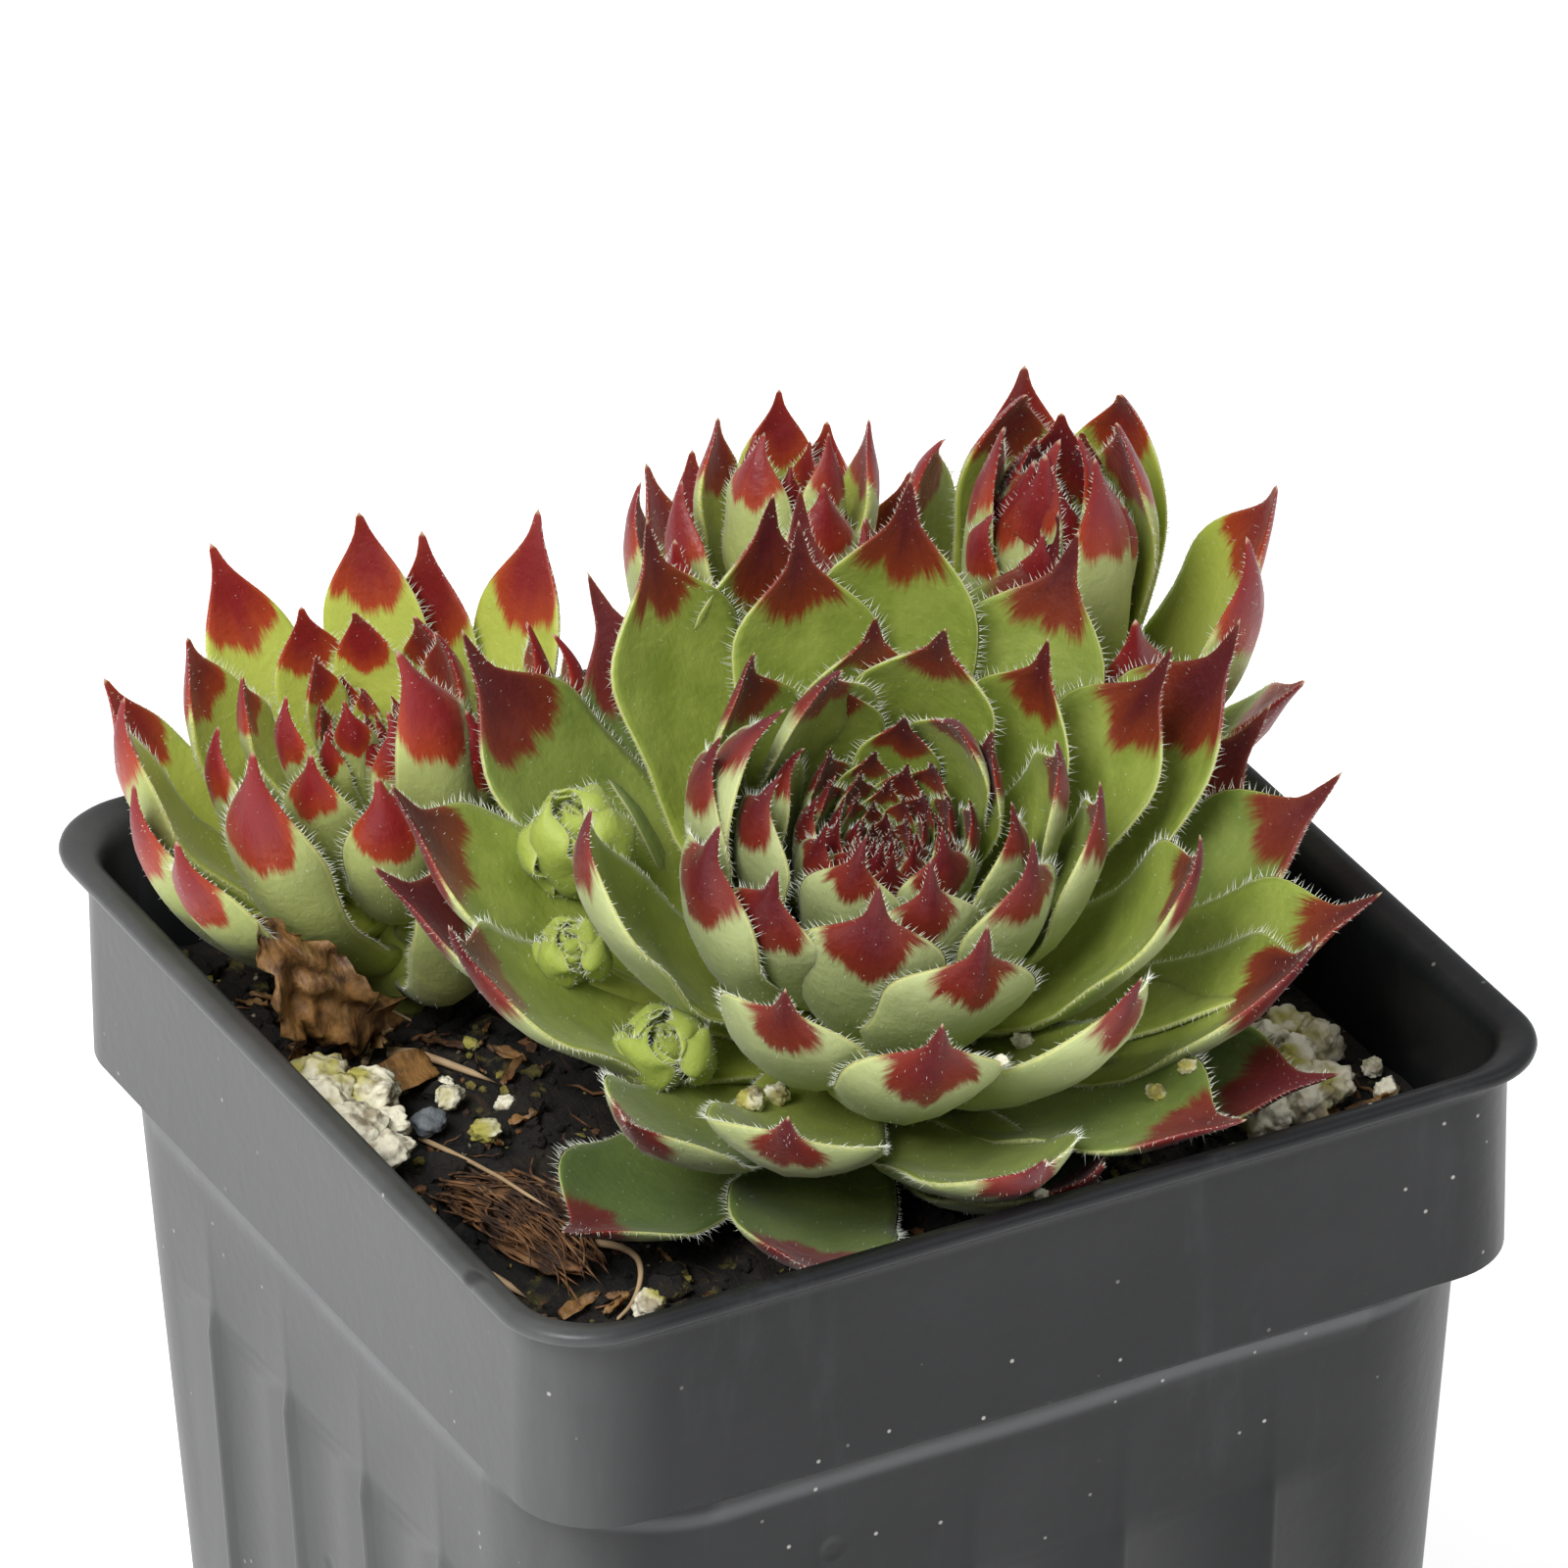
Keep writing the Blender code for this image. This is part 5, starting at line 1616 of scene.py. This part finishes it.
# %% Perlite and stone
PERLITE = {
    # name: (x, y), (length, width, height), turn in degrees
    "perlite_1": (((-26.3, 7.9), (2.4, 2.0, 1.8), 20),),
    "perlite_2": (((-26.2, 1.6), (1.8, 2.6, 1.8), 60),),
    "perlite_3": (((-26.8, -27.2), (2.5, 2.2, 2.2), 10),),
    "perlite_4": (((-18.6, -33.5), (4.8, 3.0, 2.6), 30),),
    "perlite_5": (((39.6, -23.2), (1.7, 1.5, 1.5), 0),),
    "perlite_6": (((36.4, -28.8), (1.6, 1.4, 1.3), 0),),
    "perlite_7": (((23.0, -30.6), (3.0, 2.6, 2.4), 40),),
    "perlite_8": (((38.8, -26.8), (1.9, 1.6, 2.0), 0),),
    "perlite_clump_left": (
        ((-35.8, 12.2), (5.4, 5.0, 4.4), 30), ((-36.7, 8.2), (5.0, 4.6, 4.2), 0),
        ((-37.0, 3.8), (5.6, 6.2, 4.6), 20), ((-33.0, 8.4), (4.6, 5.0, 3.6), 10),
        ((-35.4, 0.8), (3.6, 3.4, 2.6), 0), ((-33.4, 4.6), (3.4, 3.2, 2.4), 0)),
    "perlite_clump_right": (
        ((35.4, -16.8), (4.2, 4.0, 3.6), 0), ((36.8, -19.4), (4.2, 4.4, 3.6), 20),
        ((32.9, -17.8), (4.2, 4.0, 3.4), 50), ((33.6, -20.6), (4.4, 4.2, 3.8), 0),
        ((31.8, -23.2), (4.6, 4.4, 3.6), 10), ((31.0, -26.2), (5.0, 4.8, 3.8), 35),
        ((27.8, -27.2), (4.8, 4.2, 3.4), 15), ((34.4, -24.6), (4.2, 4.2, 3.2), 0)),
}


def centre_of(node):
    low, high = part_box(node)
    return (low + high) / 2 / MM


def build_crumbs(node, crumbs, material, slot, rough=PERLITE_ROUGH):
    """A crumb or a clump of them, at the height where its plain node lies."""
    shapes = []
    for place, size, swivel in crumbs:
        height = soil_height(*place) + size[2] * 0.2
        shapes.append(crumb_shape(place, size, swivel, height, rough=rough))
    low = min(p.z for points, _ in shapes for p in points)
    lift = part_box(node)[0].z / MM - low
    shapes = [([p + Vector((0, 0, lift)) for p in points], faces) for points, faces in shapes]
    thing = join_shapes(node + "_grains", shapes, material)
    place_piece(thing, slot, node)


for node, crumbs in PERLITE.items():
    build_crumbs(node, crumbs, froth.material, "perlite")
STONE = (((-29.2, 5.6), (3.2, 2.8, 2.2), 30),)
build_crumbs("stone", STONE, slate.material, "stone", STONE_ROUGH)

# %% [markdown]
# ## Withered leaves
# Two old leaves have dried at the left head's foot. They are paper thin, brown and stained, with
# pale veins that run along them.

# %% Dry leaf finish
paper = Finish("dry_leaf", Roughness=0.6, Subsurface_Weight=0.1, Subsurface_Scale=0.001)
place = paper.place()
veins = paper.noise(paper.stretch(place, (900.0, 260.0, 260.0)), 1.0, 3.0)
stains = paper.noise(place, 240.0, 4.0, 0.65)
base = paper.mix(paper.ease(stains, 0.35, 0.65), (0.040, 0.016, 0.005), (0.24, 0.12, 0.034))
base = paper.cover(base, paper.ease(veins, 0.55, 0.7), 0.35, (0.50, 0.33, 0.15))
paper.to_shader("Base Color", base)
paper.to_shader("Normal", paper.bump(paper.plus(veins, stains), 0.0006, 0.6))
print("finish:", paper.material.name)

# %% [markdown]
# Each is a strip of thin cross sections along the same line as its plain node. A smooth curve
# through the line's points carries the sections; they are folded up at their margins, crumpled by
# noise, and torn where the noise pulls a margin in.


# %% Strips
def catmull(a, b, c, d, t):
    """Smooth curve from b to c."""
    return 0.5 * (2 * b + (c - a) * t + (2 * a - 5 * b + 4 * c - d) * t * t
                  + (3 * b - a - 3 * c + d) * t ** 3)


def curve_point(line, k, part):
    """A point of the smooth curve through line, part of the way from its point k to the next."""
    before, after = line[max(k - 1, 0)], line[min(k + 2, len(line) - 1)]
    return catmull(before, line[k], line[k + 1], after, part)


def strip_shape(points, widths, thickness, facing, fold, across=9, wave=0.0, seed=0.0,
                torn=0.0, fine=4):
    """A thin leaf or flake along points, folded up at its margins, wavy and perhaps torn."""
    rings = []
    steps = fine * (len(points) - 1)
    facing = Vector(facing)
    line = [Vector(p) for p in points]
    for step in range(steps):
        share = step / steps * (len(line) - 1)
        k = min(int(share), len(line) - 2)
        part = share - k
        point = curve_point(line, k, part)
        ahead = (curve_point(line, k, part + 0.05) - point).normalized()
        high = widths[k + 1] if k + 1 < len(widths) else 0.0
        width = widths[k] + (high - widths[k]) * part
        side = ahead.cross(facing).normalized() * (width / 2)
        up = side.cross(ahead).normalized()
        top, under = [], []
        for n in range(across):
            x = 2 * n / (across - 1) - 1
            lift = fold * width * abs(x) ** 1.6
            lift += wave * noise.noise(Vector((x * 1.7, share * 1.6, seed)))
            lift += wave * 0.4 * noise.noise(Vector((x * 4.1, share * 4.3, seed)))
            thin = thickness / 2 * (1 - 0.85 * x * x)
            ragged = noise.noise(Vector((share * 4.7, math.copysign(3, x), seed)))
            out = side * (x * (1 + torn * abs(x) ** 3 * ragged))
            top.append(point + out + up * (lift + thin))
            under.append(point + out + up * (lift - thin))
        rings.append(top + under[::-1])
    return loft(rings, tip=line[-1])


def shift_to_node(shape, node):
    """Move a shape so that its box's middle is that of its plain node."""
    points, faces = shape
    low = Vector([min(p[k] for p in points) for k in range(3)])
    high = Vector([max(p[k] for p in points) for k in range(3)])
    move = centre_of(node) - (low + high) / 2
    return [p + move for p in points], faces


print("strips are set to the middle of their plain nodes:",
      [round(c, 1) for c in centre_of("dry_leaf_1")])

# %% [markdown]
# The first leaf stands against the left head, broad, crumpled and torn. The second is a small one
# that lies flat.

# %% Dry leaves
DRY_LINE_1 = ((-28.4, 21.6, 76.4), (-30.2, 18.6, 80.4), (-33.6, 18.0, 86.2), (-36.8, 19.0, 91.6))
DRY_LINE_2 = ((-25.6, 12.6, 76.3), (-28.2, 11.9, 76.6), (-31.0, 11.6, 76.4), (-33.0, 12.4, 75.9))
FRONT = (-0.40, -0.76, 0.51)
dry = shift_to_node(strip_shape(DRY_LINE_1, (6.4, 8.8, 6.2), 0.5, FRONT, 0.16, 21, 2.6,
                                torn=0.9, fine=12), "dry_leaf_1")
place_piece(mesh_object("withered_leaf_1", *dry, paper.material), "dry_leaf", "dry_leaf_1")
dry = shift_to_node(strip_shape(DRY_LINE_2, (2.4, 3.4, 2.4), 0.7, (-0.3, -0.5, 0.8), 0.2,
                                wave=0.5, seed=3.0), "dry_leaf_2")
place_piece(mesh_object("withered_leaf_2", *dry, paper.material), "dry_leaf", "dry_leaf_2")

# %% [markdown]
# A tuft of shredded bark lies in the left front corner, with two flakes near it and a root thread
# beside it. The finish is a dark husk brown with paler streaks, and the thread is pale.

# %% Bark finish
husk = Finish("bark", Roughness=0.8)
place = husk.place()
tone = husk.noise(place, 330.0, 4.0, 0.65)
streak = husk.noise(husk.stretch(place, (700.0, 160.0, 700.0)), 1.0, 3.0)
base = husk.mix(husk.ease(tone, 0.38, 0.66), (0.026, 0.010, 0.004), (0.17, 0.075, 0.024))
base = husk.cover(base, husk.ease(streak, 0.57, 0.70), 0.6, (0.28, 0.15, 0.065))
husk.to_shader("Base Color", base)
husk.to_shader("Normal", husk.bump(streak, 0.0006, 0.7))

pale_root = Finish("root", Roughness=0.6)
tone = pale_root.noise(pale_root.place(), 500.0, 2.0)
pale_root.to_shader("Base Color", pale_root.mix(tone, (0.26, 0.16, 0.08), (0.52, 0.38, 0.22)))
print("finishes:", husk.material.name, pale_root.material.name)

# %% [markdown]
# Real bark fibre is a felt of many thin strands, so the tuft is built from a few hundred tapered
# strands over a small rough core. Each strand is a thin loft along a bent line.

# %% Bark tuft
STRANDS = 330
STRAND_STEPS = 7


def strand_shape(points, radius, around=5):
    """A tapered thread along points."""
    line = [Vector(p) for p in points]
    rings = []
    for k, point in enumerate(line[:-1]):
        ahead = (line[k + 1] - line[max(k - 1, 0)]).normalized()
        side = ahead.cross(Vector((0.2, 0.3, 1.0))).normalized()
        size = radius * (1 - 0.6 * k / len(line))
        rings.append(ring_about(point, side, side.cross(ahead), size, around))
    return loft(rings, tip=line[-1])


def make_tuft():
    """The core of the tuft and its strands, which stay within the plain node's box."""
    draw = random.Random("strands")
    low, high = (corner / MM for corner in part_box("bark_fibre"))
    middle = (low.z + high.z) / 2 - 1.2
    shapes = [crumb_shape((-30.6, -13.4), (4.4, 12.0, 2.6), 8, middle, rough=0.5)]
    start, end = Vector((-31.8, -4.5, 0)), Vector((-29.0, -22.5, 0))
    for _ in range(STRANDS):
        spread = Vector((draw.gauss(0, 1.6), draw.gauss(0, 1.2), 0))
        first = draw.uniform(-0.05, 0.55)
        last = first + draw.uniform(0.25, 0.5)
        curl = Vector((draw.uniform(-1.6, 1.6), draw.uniform(-1, 1), draw.uniform(-0.4, 0.9)))
        top = draw.uniform(0.2, 0.95)
        points = []
        for step in range(STRAND_STEPS + 1):
            share = first + (last - first) * step / STRAND_STEPS
            bow = math.sin(math.pi * step / STRAND_STEPS)
            p = start.lerp(end, share) + spread + curl * bow
            hump = math.sin(math.pi * min(1, max(0, share)))
            p.z = low.z + (high.z - low.z) * (0.15 + 0.75 * top * hump) + curl.z * bow * 0.5
            p.x = min(max(p.x, low.x), high.x)
            p.z = min(max(p.z, low.z + 0.2), high.z)
            points.append(p)
        shapes.append(strand_shape(points, draw.uniform(0.06, 0.20), 4))
    return join_shapes("bark_tuft", shapes, husk.material)


place_piece(make_tuft(), "bark", "bark_fibre")

# %% [markdown]
# The two flakes are short strips of the same kind as the withered leaves, and the thread is one
# strand along a smooth curve.

# %% Flakes and root thread
for node, middle, ahead, facing, (long, wide) in (
        ("bark_flake_1", (-36.4, -20.0, 76.0), (0.3, -0.9, 0.1), (-0.3, -0.2, 0.9), (5.6, 2.0)),
        ("bark_flake_2", (27.4, -33.6, 76.0), (0.9, 0.3, 0.0), (0.0, -0.4, 0.9), (4.2, 2.2))):
    half = Vector(ahead).normalized() * long / 2
    middle = Vector(middle)
    line = [middle - half, middle - half * 0.3, middle + half * 0.4, middle + half]
    flake = strip_shape(line, (wide * 0.6, wide, wide * 0.8), 0.7, facing, 0.1, wave=0.4, seed=7.0)
    flake = shift_to_node(flake, node)
    place_piece(mesh_object(node + "_chip", *flake, husk.material), "bark", node)

THREAD = [(-26.3, -17.2, 1.4), (-25.4, -19.4, 2.0), (-25.0, -21.4, 2.1), (-25.4, -23.0, 1.8),
          (-26.3, -24.3, 1.2), (-27.6, -25.4, 0.6), (-29.3, -26.4, 0.4)]
line = [Vector((x, y, POT_HEIGHT - SOIL_DEPTH + z)) for x, y, z in THREAD]
smooth_line = [curve_point(line, k, step / 5) for k in range(len(line) - 1) for step in range(5)]
thread = shift_to_node(strand_shape(smooth_line + [line[-1]], 0.33, 8), "root_thread")
place_piece(mesh_object("thread_root", *thread, pale_root.material), "root", "root_thread")

# %% [markdown]
# ## Small things on the soil
# Peat is full of crumbs, twigs and specks too small to be parts of their own. More than two
# thousand low crumbs are scattered by a seeded rule, and lie on the soil.


# %% Peat crumbs
def scatter_place(draw):
    half = inner_half(SOIL_DEPTH) - 2.2
    return draw.uniform(-half, half), draw.uniform(-half, half)


def scatter_crumbs(name, count, least, most, fineness, material):
    """Low crumbs strewn over the soil."""
    draw = random.Random(name)
    shapes = []
    for _ in range(count):
        x, y = scatter_place(draw)
        size = least + (most - least) * draw.random() ** 2
        dims = (size, size * draw.uniform(0.6, 1.1), size * draw.uniform(0.5, 0.9))
        height = soil_height(x, y) + crumbly(x, y) + 0.25 * dims[2]
        shapes.append(crumb_shape((x, y), dims, draw.uniform(0, 180), height, fineness, 0.9))
    return join_shapes(name, shapes, material, smooth=False)


moss = Finish("moss", Roughness=0.9)
tone = moss.noise(moss.place(), 330.0, 3.0)
moss.to_shader("Base Color", moss.mix(moss.ease(tone, 0.35, 0.65), (0.035, 0.026, 0.006),
                                      (0.26, 0.22, 0.045)))
for name, slot, count, least, most, fineness, finish in (
        ("peat_crumbs", "soil", 560, 0.8, 3.0, 2, peat),
        ("peat_grit", "soil", 1500, 0.35, 1.1, 1, peat),
        ("moss_specks", "soil", 420, 0.3, 1.3, 1, moss),
        ("bark_specks", "bark", 260, 0.4, 1.6, 1, husk)):
    place_piece(scatter_crumbs(name, count, least, most, fineness, finish.material), slot)

# %% [markdown]
# Short twigs lie among the crumbs, each a thin bent strand just above the soil.

# %% Twigs
TWIGS = 150
TWIG_REACH = inner_half(SOIL_DEPTH) - 1.0


def make_twigs():
    draw = random.Random("twigs")
    shapes = []
    for _ in range(TWIGS):
        x, y = scatter_place(draw)
        heading = draw.uniform(0, math.pi)
        long = draw.uniform(1.5, 5.0)
        bend = draw.uniform(-0.6, 0.6)
        points = []
        for step in range(5):
            share = step / 4 - 0.5
            px = x + math.cos(heading + bend * share) * long * share
            py = y + math.sin(heading + bend * share) * long * share
            px, py = within(px, TWIG_REACH), within(py, TWIG_REACH)
            points.append((px, py, soil_height(px, py) + 0.35 + 0.5 * draw.random()))
        shapes.append(strand_shape(points, draw.uniform(0.08, 0.24), 4))
    return join_shapes("peat_twigs", shapes, husk.material)


place_piece(make_twigs(), "bark")

# %% [markdown]
# Scraps of bark and leaf curl up from the open soil, most of them on the left, where the photo
# shows the most litter.

# %% Scraps
SCRAPS = 90
SCRAP_REACH = 39.5


def make_scraps():
    """Curled scraps of bark and leaf on the open soil, most of them on the left."""
    draw = random.Random("scraps")
    shapes = []
    for _ in range(SCRAPS):
        x, y = scatter_place(draw)
        if x > -12 and draw.random() < 0.6:
            x = -x
        heading = draw.uniform(0, 2 * math.pi)
        long = draw.uniform(1.6, 4.6)
        rise = draw.uniform(0.2, 1.1)
        line = []
        for share in (-0.5, -0.2, 0.2, 0.5):
            px = x + math.cos(heading) * long * share
            py = y + math.sin(heading) * long * share
            px, py = within(px, SCRAP_REACH), within(py, SCRAP_REACH)
            line.append(Vector((px, py, soil_height(px, py) + 0.5 + rise * (0.5 + share))))
        wide = long * draw.uniform(0.15, 0.4)
        facing = (draw.uniform(-0.4, 0.4), draw.uniform(-0.4, 0.4), 1.0)
        shapes.append(strip_shape(line, (wide * 0.6, wide, wide * 0.7), 0.25, facing, 0.25, 5,
                                  wave=0.5, seed=x))
    return join_shapes("leaf_scraps", shapes, paper.material)


place_piece(make_scraps(), "dry_leaf")

# %% [markdown]
# A few finds have their own place in the photograph: white crumbs that have fallen between the
# leaves, a pale bristle, fibres on the bark tuft. Each is laid where the sight line of its spot
# in the picture first meets the plant or the soil, so that it rests there from any side.

# %% Sight lines
PICTURE = 1600                 # pixels along the photograph's side
SLOPE_PIXELS = PICTURE * LENS / SENSOR
GROUND = [bpy.data.objects[name].data for name in (
    "soil_surface", "rosette_main_leaves", "rosette_left_leaves", "bark_tuft")]
ground_tree = BVHTree.FromPolygons(*joined(
    ([vertex.co for vertex in mesh.vertices], [face.vertices for face in mesh.polygons])
    for mesh in GROUND))


def seen_at(x, y):
    """Where the sight line of a pixel of the photograph meets the plant, in millimetres."""
    across, down = (x - PICTURE / 2) / SLOPE_PIXELS, (y - PICTURE / 2) / SLOPE_PIXELS
    ahead = AHEAD + RIGHT_OF_VIEW * across - UP_OF_VIEW * down
    point, normal, _, _ = ground_tree.ray_cast(CAMERA_PLACE, ahead.normalized())
    return point / MM, normal


print("seen in the middle of the picture:", [round(c, 1) for c in seen_at(800, 800)[0]])

# %% [markdown]
# The white crumbs are perlite like the others. The pale fibres are thin strands, held half a
# millimetre over what they lie on.


# %% Finds between the leaves
def lay_crumb(x, y, size):
    point, normal = seen_at(x, y)
    print("crumb at", [round(c, 1) for c in point], "on a slope of", round(normal.z, 2))
    dims = (size, size * 0.8, size * 0.7)
    return crumb_shape((point.x, point.y), dims, x, point.z + size * 0.2, 4, 0.4)


finds = [lay_crumb(*spot) for spot in (
    (766, 1128, 2.6), (794, 1122, 2.3), (1044, 1066, 1.8), (1022, 1084, 1.1),
    (1212, 1092, 1.6), (1180, 1118, 1.7), (480, 1068, 1.4), (517, 1130, 1.8),
    (455, 1110, 1.6), (1062, 1222, 1.2))]
place_piece(join_shapes("white_finds", finds, froth.material), "perlite")


def lay_strand(spots, radius):
    return strand_shape([seen_at(x, y)[0] + Vector((0, 0, 0.5)) for x, y in spots], radius)


strands = [lay_strand(spots, radius) for spots, radius in (
    (((429, 1167), (458, 1180), (486, 1194), (512, 1208), (540, 1226), (565, 1241)), 0.27),
    (((379, 1024), (392, 1032), (405, 1039), (418, 1046), (429, 1052)), 0.2),
    (((396, 1079), (424, 1080), (452, 1089), (482, 1100), (510, 1112)), 0.5),
    (((372, 1090), (380, 1072), (394, 1056), (404, 1040)), 0.34),
    (((485, 1302), (503, 1308), (520, 1318), (538, 1330)), 0.5))]
place_piece(join_shapes("pale_strands", strands, pale_root.material), "root")

# %% [markdown]
# ## Floor, light and the end
# The object stands on a plain pale floor under broad soft light, as in a product photograph: a
# large panel above and to the left, a weaker one from the right, and white surroundings. The
# pictures are shown without a film curve, so that the floor is white and the reds stay deep.


# %% Stage
def set_inputs(node, **values):
    for socket, value in values.items():
        node.inputs[socket.replace("_", " ")].default_value = value


WHITE = (1.0, 1.0, 1.0, 1.0)
floor = add_primitive(bpy.ops.mesh.primitive_plane_add, size=8.0)
floor.name = floor.data.name = "floor"
pale = Finish("floor", Roughness=0.6)
set_inputs(pale.shader, Base_Color=(0.9, 0.9, 0.9, 1.0), Emission_Color=WHITE,
           Emission_Strength=0.5)
floor.data.materials.append(pale.material)

world = bpy.data.worlds.new("studio")
world.use_nodes = True
set_inputs(world.node_tree.nodes["Background"], Color=WHITE, Strength=0.6)
bpy.context.scene.world = world
bpy.context.scene.view_settings.view_transform = "Standard"
print("floor:", floor.name, "and surroundings:", world.name)

# %% [markdown]
# The two panels are square area lights that face the plant. The strong one makes the shapes, and
# the weak one only opens the shadows on the right.

# %% Lights
AIM = Vector((0, 0, 0.09))


def add_panel(name, place, size, watts):
    """A soft square light that faces the plant."""
    light = bpy.data.lights.new(name, "AREA")
    light.shape = "SQUARE"
    light.size = size
    light.energy = watts
    panel = bpy.data.objects.new(name, light)
    panel.location = place
    panel.rotation_euler = (AIM - Vector(place)).to_track_quat("-Z", "Y").to_euler()
    bpy.context.scene.collection.objects.link(panel)
    print(f"{name}: {watts} W")


add_panel("key_panel", (-0.65, -0.45, 0.95), 0.5, 15.0)
add_panel("fill_panel", (0.7, -0.5, 0.8), 0.6, 1.4)

# %% [markdown]
# ## The end

# %% The end
print("all pieces built")
